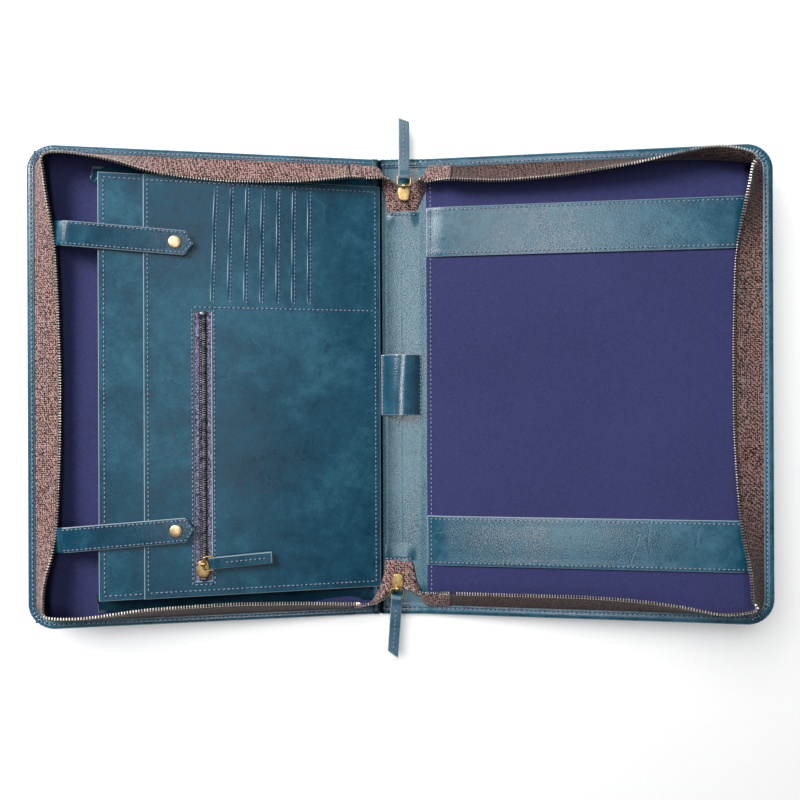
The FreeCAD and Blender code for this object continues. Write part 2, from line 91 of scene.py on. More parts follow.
ALONG = Vector((0, 1, 0))
PLACES = {"spine": Matrix.Identity(4)}
for SIDE in ("left", "right"):
    PLACES[SIDE] = stand(joint(f"{SIDE}_cover_hinge")["pos_m"], ALONG, facing(f"{SIDE}_lining"))
PLACES["organizer"] = stand((0, 0, 0), ALONG, facing("file_pocket_panel"))
POCKET_LOW, POCKET_HIGH = extent("file_pocket_panel", "organizer")
POCKET_INSET = 2.2
PLACES["organizer"] = PLACES["organizer"] @ Matrix.Translation(
    Vector(((POCKET_HIGH[0] - POCKET_INSET) * MM, 0, POCKET_LOW[2] * MM)))
POCKET_LOW, POCKET_HIGH = extent("file_pocket_panel", "organizer")
for NAME in ("top", "bottom", "inner"):
    UP = Vector((0, 0, 1)) if NAME != "inner" else facing("file_pocket_panel")
    SLIDE = Vector(joint(f"{NAME}_slider_slide")["axis"])
    PLACES[f"{NAME}_slider"] = stand((0, 0, 0), SLIDE, UP)
    LOW, HIGH = extent(f"{NAME}_slider_body", f"{NAME}_slider")
    MIDDLE = Vector(((LOW[0] + HIGH[0]) / 2, (LOW[1] + HIGH[1]) / 2, HIGH[2])) * MM
    PLACES[f"{NAME}_slider"] = PLACES[f"{NAME}_slider"] @ Matrix.Translation(MIDDLE)
    SWING = joint(f"{NAME}_pull_swing")
    PLACES[f"{NAME}_pull"] = stand(SWING["pos_m"], UP.cross(Vector(SWING["axis"])), UP)

SIGN = {"left": -1, "right": 1}
CASE_HALF = extent("left_outer_leather", "left")[1][1]
COVER_WIDTH = extent("right_outer_leather", "right")[1][0]
COVER_BOTTOM = extent("left_outer_leather", "left")[0][2]
LINING_TOP = {side: extent(f"{side}_lining", side)[1][2] for side in SIGN}
HEM_TOP = {side: extent(f"{side}_outer_leather", side)[1][2] for side in SIGN}
SPINE_TOP = extent("spine_inner_leather", "spine")[1][2]
SPINE_HALF = extent("spine_inner_leather", "spine")[1][0]
HINGE = abs(joint("left_cover_hinge")["pos_m"][0]) / MM
CORNER_RADIUS = 19
HEM_WIDTH = {"left": 5.6, "right": 7.2, "spine": 7}
# Thicknesses, and how far in the stitches lie at the spine's two ends.
LEATHER = 1.1
TAPE = 0.8
SPINE_SEAM = 5
BODIES = {"left": "left_cover", "right": "right_cover", "organizer": "left_cover"}


# ---- materials ----

class Shader:
    """A node material: add() makes a node, with inputs set or linked by name."""

    def __init__(self, name):
        self.material = bpy.data.materials.new(name)
        self.material.use_nodes = True
        self.tree = self.material.node_tree
        self.surface = self.tree.nodes["Principled BSDF"]
        self.place = self.add("TexCoord").outputs["Object"]

    def add(self, kind, inputs=(), **settings):
        node = self.tree.nodes.new("ShaderNode" + kind)
        for name, value in settings.items():
            setattr(node, name, value)
        for name, value in dict(inputs).items():
            self.put(node, name, value)
        return node

    def put(self, node, name, value):
        """Link an input to a socket, or set it to a number or a colour of three parts."""
        socket = node.inputs[name]
        if isinstance(value, bpy.types.NodeSocket):
            self.tree.links.new(value, socket)
        else:
            socket.default_value = (*value, 1) if isinstance(value, tuple) else value

    def noise(self, scale, detail=4, rough=0.6, distortion=0.0):
        inputs = {"Vector": self.place, "Scale": scale, "Detail": detail,
                  "Roughness": rough, "Distortion": distortion}
        return self.add("TexNoise", inputs).outputs["Fac"]

    def sum(self, *parts):
        """Add up (socket, weight) pairs."""
        total, *rest = [self.times(*part) for part in parts]
        for part in rest:
            total = self.add("Math", {0: total, 1: part}, operation="ADD").outputs[0]
        return total

    def curve(self, socket, low, high, to_low=0.0, to_high=1.0):
        inputs = {"Value": socket, "From Min": low, "From Max": high,
                  "To Min": to_low, "To Max": to_high}
        return self.add("MapRange", inputs, interpolation_type="SMOOTHSTEP").outputs["Result"]

    def times(self, a, b):
        return self.add("Math", {0: a, 1: b}, operation="MULTIPLY").outputs[0]

    def ramp(self, socket, stops):
        node = self.add("ValToRGB", {"Fac": socket})
        band = node.color_ramp
        while len(band.elements) < len(stops):
            band.elements.new(0.5)
        for element, (place, colour) in zip(band.elements, stops):
            element.position = place
            element.color = (*colour, 1)
        return node.outputs["Color"]

    def blend(self, share, a, b):
        return self.add("Mix", {0: share, 6: a, 7: b}, data_type="RGBA").outputs[2]

    def attribute(self, name):
        return self.add("Attribute", attribute_name=name).outputs["Fac"]

    def waves(self, scale, distortion, detail, detail_scale, directions):
        """Bands in each direction."""
        inputs = {"Vector": self.place, "Scale": scale, "Distortion": distortion,
                  "Detail": detail, "Detail Scale": detail_scale}
        return [self.add("TexWave", inputs, bands_direction=direction).outputs["Fac"]
                for direction in directions]

    def bump(self, height, depth):
        inputs = {"Height": height, "Distance": depth, "Strength": 1.0}
        return self.add("Bump", inputs).outputs["Normal"]

    def finish(self, colour, roughness, levels):
        """Set the surface's inputs and give back the material."""
        for name, value in {"Base Color": colour, "Roughness": roughness, **levels}.items():
            self.put(self.surface, name, value)
        return self.material


def leather(name, deep, middle, light, gloss=(0.24, 0.33), crease=0.5, shine=0.9):
    """Waxed pull-up leather: cloudy tone, fine pebbled grain, pale creases and pale cut edges. The
    pale cut edges are partly the edges' own paler colour and partly painted highlight; an attribute
    paints shade in, darkening the colour and taking away the shine.
    """
    make = Shader(name)
    clouds = make.noise(13, 5, 0.62, 0.7)
    mottle = make.noise(85, 6, 0.72, 0.3)
    fleck = make.noise(520, 3, 0.6)
    tone = make.sum((clouds, 0.5), (mottle, 0.36), (fleck, 0.14))
    colour = make.ramp(tone, [(0.36, deep), (0.5, middle), (0.66, light)])
    warp = make.add("TexNoise", {"Vector": make.place, "Scale": 30, "Detail": 3}).outputs["Color"]
    bent = make.add("VectorMath", {0: warp, "Scale": 0.034}, operation="SCALE").outputs[0]
    bent = make.add("VectorMath", {0: make.place, 1: bent}, operation="ADD").outputs[0]
    cells = make.add("TexVoronoi", {"Vector": bent, "Scale": 34}, feature="DISTANCE_TO_EDGE")
    lines = make.curve(cells.outputs["Distance"], 0.0, 0.022, 1.0, 0.0)
    patches = make.curve(make.noise(17, 2), 0.5, 0.68)
    creases = make.times(lines, patches)
    colour = make.blend(make.times(creases, crease), colour, light)
    # Pale cut edges: partly the leather's own paler edge colour, partly painted highlight.
    colour = make.blend(make.times(make.attribute("edge"), 0.85), colour, (0.42, 0.5, 0.56))
    # Painted shade: this attribute darkens the colour and lowers the shine where shade falls on the
    # spine.
    painted_shade = make.attribute("painted_shade")
    colour = make.blend(painted_shade, colour, (0.004, 0.01, 0.014))
    pebble = make.add("TexVoronoi", {"Vector": make.place, "Scale": 1150}).outputs["Distance"]
    grain = make.sum((pebble, 0.6), (make.noise(2600, 2), 0.25), (make.noise(240, 3), 0.5))
    normal = make.bump(make.sum((grain, 1.0), (creases, -0.8)), 0.00009)
    roughness = make.curve(make.sum((mottle, 0.6), (clouds, 0.4)), 0.38, 0.62, *gloss)
    return make.finish(colour, roughness, {"Normal": normal, "Specular IOR Level": make.curve(
        painted_shade, 0.0, 1.0, shine, 0.0)})


def cloth(name, deep, light):
    """Plain woven lining with a fine thread pattern and a little slub."""
    make = Shader(name)
    weave = make.sum(*((wave, 0.5) for wave in make.waves(420, 0.6, 1.0, 2.0, ("X", "Y"))))
    slub = make.noise(650, 4, 0.7)
    wash = make.noise(9, 3, 0.5)
    tone = make.sum((weave, 0.3), (slub, 0.5), (wash, 0.2))
    colour = make.ramp(tone, [(0.34, deep), (0.62, light)])
    normal = make.bump(make.sum((weave, 0.6), (slub, 0.4)), 0.00018)
    return make.finish(colour, 0.82, {"Normal": normal, "Sheen Weight": 0.2,
                                      "Specular IOR Level": 0.3})


def woven_tape(name, dark, middle, pale, size=900):
    """Zip tape: a heathered twill of dark and pale threads, darkened by its edge attribute, most
    along the teeth: on the round zip's tapes that darkening is painted shade.
    """
    make = Shader(name)
    fleck = make.noise(size, 1, 0.5, 0.2)
    ribs = make.waves(size * 0.24, 2.5, 2.0, 3.0, ("X", "Y", "DIAGONAL"))
    twill = make.sum(*((rib, 0.34) for rib in ribs))
    tone = make.sum((fleck, 0.72), (twill, 0.28))
    colour = make.ramp(tone, [(0.45, dark), (0.5, middle), (0.55, pale)])
    # The edge attribute carries painted shade on the round zip's tapes; both blends below darken
    # the weave by it.
    edge = make.attribute("edge")
    shaded = make.ramp(tone, [(0.46, tuple(0.2 * c for c in dark)), (0.54, middle)])
    colour = make.blend(make.curve(edge, 0.0, 0.75), colour, shaded)
    colour = make.blend(make.curve(edge, 0.75, 1.0), colour, tuple(0.35 * c for c in dark))
    return make.finish(colour, 0.78, {"Normal": make.bump(tone, 0.0004), "Sheen Weight": 0.15,
                                      "Specular IOR Level": 0.3})


def metal(name, colour, roughness, tarnish):
    """Plated metal with worn patches and fine brushing."""
    make = Shader(name)
    patches = make.noise(260, 4, 0.6)
    tone = make.ramp(patches, [(0.3, tarnish), (0.62, colour)])
    rough = make.curve(make.noise(1600, 3), 0.35, 0.65, roughness * 0.85, roughness * 1.25)
    normal = make.bump(make.noise(3200, 2), 0.000012)
    return make.finish(tone, rough, {"Normal": normal, "Metallic": 1.0})


def thread(name, colour, shade):
    """Waxed sewing thread with a twist."""
    make = Shader(name)
    twist = make.add("TexWave", {"Vector": make.place, "Scale": 520, "Distortion": 1.0},
                     bands_direction="DIAGONAL").outputs["Fac"]
    fuzz = make.sum((twist, 0.6), (make.noise(900, 2), 0.4))
    tone = make.ramp(fuzz, [(0.3, shade), (0.7, colour)])
    return make.finish(tone, 0.5, {"Normal": make.bump(twist, 0.0001)})


def board(name):
    """Grey pressed fibre board."""
    make = Shader(name)
    fibres = make.noise(1400, 5, 0.8)
    tone = make.ramp(fibres, [(0.35, (0.2, 0.19, 0.17)), (0.65, (0.34, 0.32, 0.29))])
    return make.finish(tone, 0.9, {"Normal": make.bump(fibres, 0.0002)})


MATERIALS = {
    "case": leather("case_leather", (0.004, 0.05, 0.09), (0.011, 0.085, 0.14),
                    (0.036, 0.16, 0.235)),
    "spine": leather("spine_leather", (0.008, 0.065, 0.105), (0.02, 0.105, 0.155),
                     (0.06, 0.18, 0.24), gloss=(0.23, 0.3), crease=0.25),
    "pocket": leather("pocket_leather", (0.004, 0.036, 0.066), (0.009, 0.066, 0.112),
                      (0.03, 0.135, 0.2), gloss=(0.27, 0.36), shine=0.2),
    "strap": leather("strap_leather", (0.003, 0.034, 0.064), (0.007, 0.062, 0.108),
                     (0.026, 0.13, 0.195), gloss=(0.19, 0.25), shine=0.32),
    # A darkened copy of the pocket leather: painted shade for the lower gusset, which lies in the
    # pocket's shadow.
    "gusset": leather("painted_shade_gusset_leather", (0.002, 0.014, 0.026), (0.004, 0.026, 0.046),
                      (0.012, 0.06, 0.09), gloss=(0.3, 0.4), shine=0.1),
    "loop": leather("loop_leather", (0.003, 0.045, 0.085), (0.01, 0.085, 0.145),
                    (0.04, 0.17, 0.25), gloss=(0.19, 0.23), shine=1.5),
    "lining": cloth("lining_cloth", (0.016, 0.019, 0.076), (0.04, 0.045, 0.165)),
    "tape": woven_tape("zip_tape", (0.014, 0.005, 0.004), (0.09, 0.043, 0.037),
                       (0.44, 0.27, 0.245)),
    "inner_tape": woven_tape("inner_zip_tape", (0.01, 0.01, 0.035), (0.045, 0.042, 0.1),
                             (0.34, 0.3, 0.46), size=1300),
    "teeth": metal("zip_metal", (0.8, 0.74, 0.66), 0.36, (0.4, 0.34, 0.28)),
    "dark_teeth": metal("dark_metal", (0.34, 0.34, 0.37), 0.4, (0.03, 0.03, 0.04)),
    "gold": metal("slider_brass", (0.6, 0.42, 0.19), 0.42, (0.36, 0.23, 0.09)),
    "snap": metal("snap_brass", (0.86, 0.66, 0.4), 0.42, (0.62, 0.44, 0.24)),
    "thread": thread("stitching_thread", (0.42, 0.5, 0.66), (0.07, 0.11, 0.19)),
    # Near-black needle holes: painted shade in the holes.
    "hole": thread("needle_hole_painted_shade", (0.004, 0.008, 0.013), (0.002, 0.004, 0.007)),
    "board": board("stiffener_board"),
}


# ---- mesh tools ----

def link(name, data):
    """A new object in the scene."""
    thing = bpy.data.objects.new(name, data)
    bpy.context.scene.collection.objects.link(thing)
    return thing


def set_attribute(piece, name, values):
    """Give each point of a piece a number that its material reads."""
    piece.data.attributes.new(name, "FLOAT", "POINT").data.foreach_set("value", values)


def make_piece(name, shape, place, material, replaces=None, body="own"):
    """Make a smooth mesh object from a shape: points in millimetres in a place's own axes, faces,
    and an edge value for each point, if that is given: on leather how pale its cut edge is, partly
    its own colour and partly painted highlight; on zip tape how much shade is painted on. It rides
    the place's body by default."""
    points, faces, *edge = shape
    mesh = bpy.data.meshes.new(name)
    mesh.from_pydata((np.asarray(points) * MM).tolist(), [], [list(face) for face in faces])
    mesh.polygons.foreach_set("use_smooth", [True] * len(mesh.polygons))
    mesh.materials.append(MATERIALS[material])
    piece = link(name, mesh)
    if edge:
        set_attribute(piece, "edge", edge[0])
    piece.matrix_world = PLACES[place]
    if body:
        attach(piece, BODIES.get(place, place) if body == "own" else body)
    if replaces:
        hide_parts(replaces)
    return piece


def unit(vectors):
    """Vectors scaled to length one."""
    return vectors / np.maximum(np.linalg.norm(vectors, axis=-1, keepdims=True), 1e-9)


def grid_normals(grid):
    """Unit normals of a grid of points."""
    return unit(np.cross(np.gradient(grid, axis=0), np.gradient(grid, axis=1)))


def grid_faces(ids, keep=None, flip=False):
    """Quads between neighbouring rows and columns of vertex numbers."""
    quads = np.stack([ids[:-1, :-1], ids[1:, :-1], ids[1:, 1:], ids[:-1, 1:]], -1)
    quads = quads.reshape(-1, 4) if keep is None else quads[keep]
    return quads[:, ::-1] if flip else quads


def slab(grid, thickness, keep=None, up=(0, 0, 1)):
    """A closed sheet below a grid of top points, with top and bottom joined halfway down at the
    border, so its edges are round. Keep says which cells are solid, so a window can be left out;
    up is the side the points are on, one direction or one for each point."""
    rows, columns = grid.shape[:2]
    keep = np.ones((rows - 1, columns - 1), bool) if keep is None else keep
    normal = grid_normals(grid)
    flip = (normal * np.array(up)).sum(-1).mean() < 0
    normal = -normal if flip else normal
    solid = np.zeros((rows + 1, columns + 1), bool)
    solid[1:-1, 1:-1] = keep
    around = [solid[:-1, :-1], solid[1:, :-1], solid[:-1, 1:], solid[1:, 1:]]
    inside = np.logical_and.reduce(around)
    used = np.logical_or.reduce(around)
    border = used & ~inside
    top = grid - normal * thickness * 0.5 * border[..., None]
    top_ids = np.full((rows, columns), -1)
    top_ids[used] = np.arange(used.sum())
    low_ids = top_ids.copy()
    low_ids[inside] = used.sum() + np.arange(inside.sum())
    points = np.concatenate([top[used], (grid - normal * thickness)[inside]])
    faces = np.concatenate([grid_faces(top_ids, keep, flip), grid_faces(low_ids, keep, not flip)])
    # How pale each point's edge is: the cut edge's own paler colour, partly painted highlight.
    near = border.copy()
    for seen, border_seen in ((near, border), (near.T, border.T)):
        seen[1:] |= border_seen[:-1]
        seen[:-1] |= border_seen[1:]
    edge = np.concatenate([near[used], np.zeros(inside.sum())]).astype(float)
    return points, faces, edge


def lines(low, high, step, soft=0.35, extra=()):
    """Grid line places from low to high, with close lines at each end and round each extra one."""
    places = list(np.linspace(low, high, max(3, round(abs(high - low) / step) + 1)))
    for mark in (low, high, *extra):
        places += [mark + soft * step for step in (-2, -1, 0, 1, 2)]
    places = np.array(sorted(place for place in places if low - 1e-9 <= place <= high + 1e-9))
    return places[np.concatenate([[True], np.diff(places) > 1e-6])]


def flat_grid(xs, ys, height):
    """A grid of points over xs and ys, with height a function of both."""
    x, y = np.meshgrid(xs, ys, indexing="ij")
    return np.stack([x, y, height(x, y) + 0 * x], -1)


def ease(share):
    """Zero to one with a soft start and end."""
    share = np.clip(share, 0, 1)
    return share * share * (3 - 2 * share)


def swell(x, y, amount, size, seed):
    """Gentle unevenness: a few crossing waves of about that size."""
    rng = np.random.default_rng(seed)
    total = 0
    for _ in range(6):
        angle, phase = rng.uniform(0, math.tau), rng.uniform(0, math.tau)
        length = size * rng.uniform(0.7, 1.6)
        run = x * math.cos(angle) + y * math.sin(angle)
        total = total + np.sin(run * math.tau / length + phase)
    return amount * total / 3


def flat_sheet(name, place, xs, ys, height, thickness, material, replaces, body="own", keep=None):
    """A sheet over a rectangle, in one call."""
    shape = slab(flat_grid(xs, ys, height), thickness, keep)
    return make_piece(name, shape, place, material, replaces, body)


def points_at(path, marks, places):
    """Points at those places on a path whose own points are at the marks."""
    return np.stack([np.interp(places, marks, line) for line in np.asarray(path, float).T], -1)


def distances(path):
    """How far along a path each of its points is."""
    steps = np.linalg.norm(np.diff(np.asarray(path, float), axis=0), axis=1)
    return np.concatenate([[0], np.cumsum(steps)])


def resample(path, pitch):
    """Points at an even pitch along a path, with directions."""
    marks = distances(path)
    count = max(2, int(marks[-1] / pitch))
    places = (np.arange(count) + 0.5) * marks[-1] / count
    ahead = points_at(path, marks, places + 0.05) - points_at(path, marks, places - 0.05)
    return points_at(path, marks, places), unit(ahead)


def copies(template, quads, places, axes):
    """Repeat a small template at many places, each with its own three axes."""
    points = np.einsum("ij,njk->nik", template, axes) + places[:, None]
    faces = [tuple(corner + index * len(template) for corner in quad)
             for index in range(len(places)) for quad in quads]
    return points.reshape(-1, 3), faces


def ring_faces(rings, sides, first=0):
    """Quads that join rings of vertices in turn, with a cap on the first and the last."""
    faces = [[first + row * sides + side, first + row * sides + (side + 1) % sides,
              first + (row + 1) * sides + (side + 1) % sides, first + (row + 1) * sides + side]
             for row in range(rings - 1) for side in range(sides)]
    faces.append([first + side for side in range(sides)][::-1])
    faces.append([first + (rings - 1) * sides + side for side in range(sides)])
    return faces


def stitch_template(length, radius):
    """One stitch along x: a thin rod of thread that arches up and dips into the leather, then the
    mouth of the needle hole beyond it, painted dark for the shade inside it. Also its faces, and
    how many of them are thread."""
    stations = [(-0.5, 0.45, -0.9), (-0.36, 1, 0.1), (-0.12, 1.1, 0.75),
                (0.12, 1.1, 0.75), (0.36, 1, 0.1), (0.5, 0.45, -0.9)]
    points = []
    for place, size, lift in stations:
        for turn in range(6):
            angle = turn * math.tau / 6
            points.append((place * length, math.cos(angle) * radius * size,
                           math.sin(angle) * radius * size * 0.8 + lift * radius))
    faces = ring_faces(len(stations), 6)
    for size, high in ((1.5, -0.4), (1.15, 0.28)):
        points += [(0.62 * length + radius * size * math.cos(turn * math.tau / 6),
                    radius * size * math.sin(turn * math.tau / 6), high * radius)
                   for turn in range(6)]
    faces += ring_faces(2, 6, first=36)
    return np.array(points), faces, 32


def stitching(name, paths, place, pitch=3.3, radius=0.36, body="own"):
    """Lines of stitches along paths: thread that lies on the surface, and needle holes with painted
    shade.
    """
    template, quads, threads = stitch_template(pitch * 0.72, radius)
    points, faces, dark, count = [], [], [], 0
    for path in paths:
        places, ahead = resample(path, pitch)
        side = unit(np.cross((0, 0, 1), ahead))
        axes = np.stack([ahead, side, np.cross(ahead, side)], 1)
        more, quads_here = copies(template, quads, places, axes)
        points.append(more)
        faces += [tuple(corner + count for corner in quad) for quad in quads_here]
        dark += [index >= threads for index in range(len(quads))] * len(places)
        count += len(more)
    piece = make_piece(name, (np.concatenate(points), faces), place, "thread", None, body)
    # The holes take the near-black material: painted shade.
    piece.data.materials.append(MATERIALS["hole"])
    piece.data.polygons.foreach_set("material_index", np.array(dark, dtype=np.int32))
    return piece


def tube(path, radius, closed=False, sides=10):
    """A round wire along a path."""
    path = np.asarray(path, float)
    if closed:
        ahead = unit(np.roll(path, -1, 0) - np.roll(path, 1, 0))
    else:
        ahead = unit(np.gradient(path, axis=0))
    side = unit(np.cross(ahead, (0.02, 0.03, 1)))
    up = np.cross(side, ahead)
    angles = np.arange(sides) * math.tau / sides
    rings = (path[:, None] + radius * (np.cos(angles)[:, None] * side[:, None]
                                       + np.sin(angles)[:, None] * up[:, None]))
    ids = np.arange(len(path) * sides).reshape(len(path), sides)
    if not closed:
        return rings.reshape(-1, 3), ring_faces(len(path), sides)
    ids = np.vstack([ids, ids[:1]])
    ids = np.hstack([ids, ids[:, :1]])
    return rings.reshape(-1, 3), grid_faces(ids).tolist()


def revolve(profile, sides=32):
    """Turn a profile of (radius, height) pairs about z."""
    angles = np.arange(sides) * math.tau / sides
    rings = [[(radius * math.cos(a), radius * math.sin(a), height) for a in angles]
             for radius, height in profile]
    return np.array(rings).reshape(-1, 3), ring_faces(len(profile), sides)


def soften(outline, rounds=3):
    """Round a closed outline's corners by cutting them again and again."""
    outline = np.asarray(outline, float)
    for _ in range(rounds):
        following = np.roll(outline, -1, 0)
        outline = np.stack([0.75 * outline + 0.25 * following,
                            0.25 * outline + 0.75 * following], 1).reshape(-1, 2)
    return outline


def plate(outline, levels, rounds=2):
    """A solid of the outline, with its size at each level given as (height, shrink in mm)."""
    outline = soften(outline, rounds)
    centre = outline.mean(0)
    reach = np.linalg.norm(outline - centre, axis=1, keepdims=True)
    rings = []
    for height, shrink in levels:
        ring = centre + (outline - centre) * np.maximum(1 - shrink / reach, 0.02)
        rings.append(np.column_stack([ring, np.full(len(ring), height)]))
    return np.concatenate(rings), ring_faces(len(levels), len(outline))


def joined(*parts):
    """Put several (points, faces) meshes together."""
    points, faces, count = [], [], 0
    for more_points, more_faces in parts:
        points.append(np.asarray(more_points, float))
        faces += [tuple(corner + count for corner in face) for face in more_faces]
        count += len(more_points)
    return np.concatenate(points), faces


# ---- covers ----

class Rim:
    """The three-sided edge of a cover, from the spine's top end round to its bottom end."""

    def __init__(self, side, start=3.0):
        reach, climb = COVER_WIDTH - CORNER_RADIUS, CASE_HALF - CORNER_RADIUS
        outs, turns = np.linspace(start, reach, 64), np.linspace(math.pi / 2, 0, 65)[1:-1]
        alongs = np.linspace(climb, 0, 40)
        turns = np.pad(turns, (len(outs), len(alongs)), constant_values=(math.pi / 2, 0))
        centres = np.column_stack([np.pad(outs, (0, len(turns) - len(outs)), "edge"),
                                   np.pad(alongs, (len(turns) - len(alongs), 0), "edge")])
        inward = -np.column_stack([np.cos(turns), np.sin(turns)])
        points = centres - CORNER_RADIUS * inward
        mirror = np.array([1, -1])
        self.points = np.concatenate([points, points[-2::-1] * mirror])
        self.inward = np.concatenate([inward, inward[-2::-1] * mirror])
        self.length = distances(self.points)
        # One in the middle of each corner, falling to nought on the straights.
        self.corner = np.clip(np.abs(self.inward).min(1) * math.sqrt(2), 0, 1)
        self.side = side

    def at(self, inset, height):
        """The line at an inset from the edge and a height, each a number or one per point."""
        line = self.points + self.inward * np.reshape(inset, (-1, 1))
        height = np.broadcast_to(height, len(line))
        return np.column_stack([SIGN[self.side] * line[:, 0], line[:, 1], height])


def make_cover_leather(side):
    """The outer leather: flat outside, turned round the board, hemmed and pleated at corners."""
    rim = Rim(side, 1.8)
    top, low = HEM_TOP[side], COVER_BOTTOM
    pleat = np.abs(np.sin(rim.length * math.pi / 3.1)) ** 0.7 * rim.corner
    hem = HEM_WIDTH[side]
    profile = [(hem, low, 0), (2.2, low, 0), (0.9, low + 0.25, 0), (0.15, low + 0.9, 0.1),
               (-0.05, (low + top) / 2, 0.25), (0.15, top - 1.4, 0.5), (0.7, top - 0.65, 0.9),
               (1.5, top - 0.15, 1), (2.4, top + 0.12, 1), (hem - 2.7, top + 0.14, 1),
               (hem - 1.9, top - 0.25, 0.8), (hem - 1.1, top + 0.14, 1), (hem - 0.4, top, 0.8),
               (hem, top - 0.35, 0.5), (hem + 0.05, LINING_TOP[side], 0)]
    rings = [rim.at(inset, height + 0.9 * share * (pleat - 0.8 * rim.corner))
             for inset, height, share in profile]
    grid = np.stack(rings, 1)
    rows, columns = grid.shape[:2]
    ids = np.arange(rows * columns).reshape(rows, columns)
    faces = grid_faces(ids, flip=side == "right").tolist()
    rolled = len(faces)
    # The flat outside: strips from one end of the rim's path to the other, without empty ones.
    for row in range(rows // 2):
        quad = [ids[row, 0], ids[row + 1, 0], ids[rows - 2 - row, 0], ids[rows - 1 - row, 0]]
        if abs(grid[row, 0, 0] - grid[row + 1, 0, 0]) > 0.01:
            faces.append(quad if side == "right" else quad[::-1])
    # The hem's inner edge is pale: partly the cut edge's own colour, partly painted highlight.
    edge = np.zeros((rows, columns))
    edge[:, -2:] = 0.7
    piece = make_piece(f"{side}_cover_leather", (grid.reshape(-1, 3), faces, edge.ravel()), side,
                       "case", f"{side}_outer_leather")
    piece.data.polygons.foreach_set("use_smooth", np.arange(len(faces)) < rolled)
    stitching(f"{side}_rim_stitching", [rim.at(hem - 1.9, top - 0.05)[2:-2]], side)


def make_lining(side):
    """The navy lining: cloth stretched over the board and held under the hem."""
    inset = HEM_WIDTH[side] - 0.6
    start, seed = (3.5, 3) if side == "left" else (1.2, 4)
    xs = np.sort(SIGN[side] * lines(start, COVER_WIDTH - inset, 6))
    ys = lines(-CASE_HALF + inset, CASE_HALF - inset, 6)
    top = LINING_TOP[side] + 0.05
    piece = flat_sheet(f"{side}_lining_cloth", side, xs, ys,
                       lambda x, y: top + swell(x, y, 0.12, 90, seed), 0.6, "lining",
                       f"{side}_lining")


# How far the zip tape leans in from upright, in degrees, at shares of the way along each of a
# cover's three straight runs: (share, lean). The runs go from the spine's top to its bottom.
LEAN = {
    "left": [
        [(0.05, 38), (0.25, 57), (0.45, 63), (0.59, 58), (0.71, 47), (0.77, 34), (0.83, 24),
         (0.96, 14)],
        [(0, 31), (0.07, 37), (0.13, 47), (0.18, 55), (0.3, 61), (0.48, 67), (0.65, 65),
         (0.78, 59), (0.85, 54), (0.9, 42), (0.95, 28), (1, 30)],
        [(0.03, 20), (0.1, 18), (0.28, 30), (0.54, 34), (0.75, 30), (0.95, 23)]
    ],
    "right": [
        [(0.06, 41), (0.23, 51), (0.42, 45), (0.66, 25), (0.76, 13), (0.86, 1), (0.93, 2),
         (1, 18)],
        [(0, 37), (0.03, 39), (0.09, 51), (0.2, 77), (0.4, 87), (0.6, 86), (0.76, 72), (0.87, 56),
         (0.93, 41), (1, 40)],
        [(0.04, 18), (0.1, 12), (0.2, 26), (0.34, 36), (0.5, 41), (1, 40)]
    ],
}
# How much further the tape leans at its foot than at its teeth, and how much shade is painted onto
# its weave.
SCOOP = {"left": -0.05, "right": 0.16}
TAPE_PAINTED_SHADE = {"left": 0.08, "right": 0.6}
TAPE_WIDTH = 20.6
ZIP_START = 20
TOOTH_PITCH = 1.9


def smooth(values, width, pad):
    """A line of values, evened out over a window of that width."""
    kernel = np.hanning(width) / np.hanning(width).sum()
    return np.convolve(np.pad(values, width // 2, **pad), kernel, mode="valid")


def crest_lean(side, rim):
    """The tape's lean from upright at every point of the rim, in radians."""
    out_run = COVER_WIDTH - CORNER_RADIUS - rim.points[0, 0]
    bend = CORNER_RADIUS * math.pi / 2
    down_run = 2 * (CASE_HALF - CORNER_RADIUS)
    starts = [0, out_run + bend, out_run + 2 * bend + down_run]
    runs = [out_run, down_run, out_run]
    marks, leans = zip(*((start + share * run, lean) for start, run, line in
                         zip(starts, runs, LEAN[side]) for share, lean in line))
    return np.radians(smooth(np.interp(rim.length, marks, leans), 9, {"mode": "edge"}))


def tape_rows(side, rim):
    """The tape's grid: a sewn foot under the hem, then a standing width up to its crest."""
    lean = crest_lean(side, rim)
    ripple = 0.5 * np.sin(rim.length / 17) + 0.35 * np.sin(rim.length / 7.3 + 1)
    belly = 6.0 * np.exp(-((rim.length - 215) / 42) ** 2) if side == "right" else 0
    foot_inset, foot_high = HEM_WIDTH[side] - 0.6, LINING_TOP[side] + 0.15
    rows = [rim.at(foot_inset, foot_high), rim.at(foot_inset + 0.6, foot_high + 0.2)]
    for share in np.linspace(0.06, 1, 11):
        angle = lean + SCOOP[side] * (1 - share) * np.clip(lean, 0, 1)
        reach = TAPE_WIDTH * share
        arch = share * (1 - share)
        inset = foot_inset + 0.7 + reach * np.sin(angle) + ripple * arch + 4 * belly * arch
        rows.append(rim.at(inset, foot_high + 0.3 + reach * np.cos(angle)))
    return ease_corners(np.stack(rows, 1), rim)


def ease_corners(grid, rim):
    """Smooth the tape lengthways where it turns a corner tighter than its own width."""
    even = np.arange(0, rim.length[-1], 2.0)
    out = np.empty((len(even), *grid.shape[1:]))
    for row, axis in np.ndindex(*grid.shape[1:]):
        line = np.interp(even, rim.length, grid[:, row, axis])
        eased = smooth(line, 15, {"mode": "reflect", "reflect_type": "odd"})
        out[:, row, axis] = line + (eased - line) * np.clip((row - 1) / 6, 0, 1)
    return out


TOOTH = np.array([(x, y, z) for y, wide, high in ((-1.1, 0.36, 0.6), (-0.6, 0.42, 1.0),
                                                   (0.7, 0.42, 1.0), (1.2, 0.28, 0.7))
                  for x, z in ((-wide, -high), (wide, -high), (wide, high), (-wide, high))])


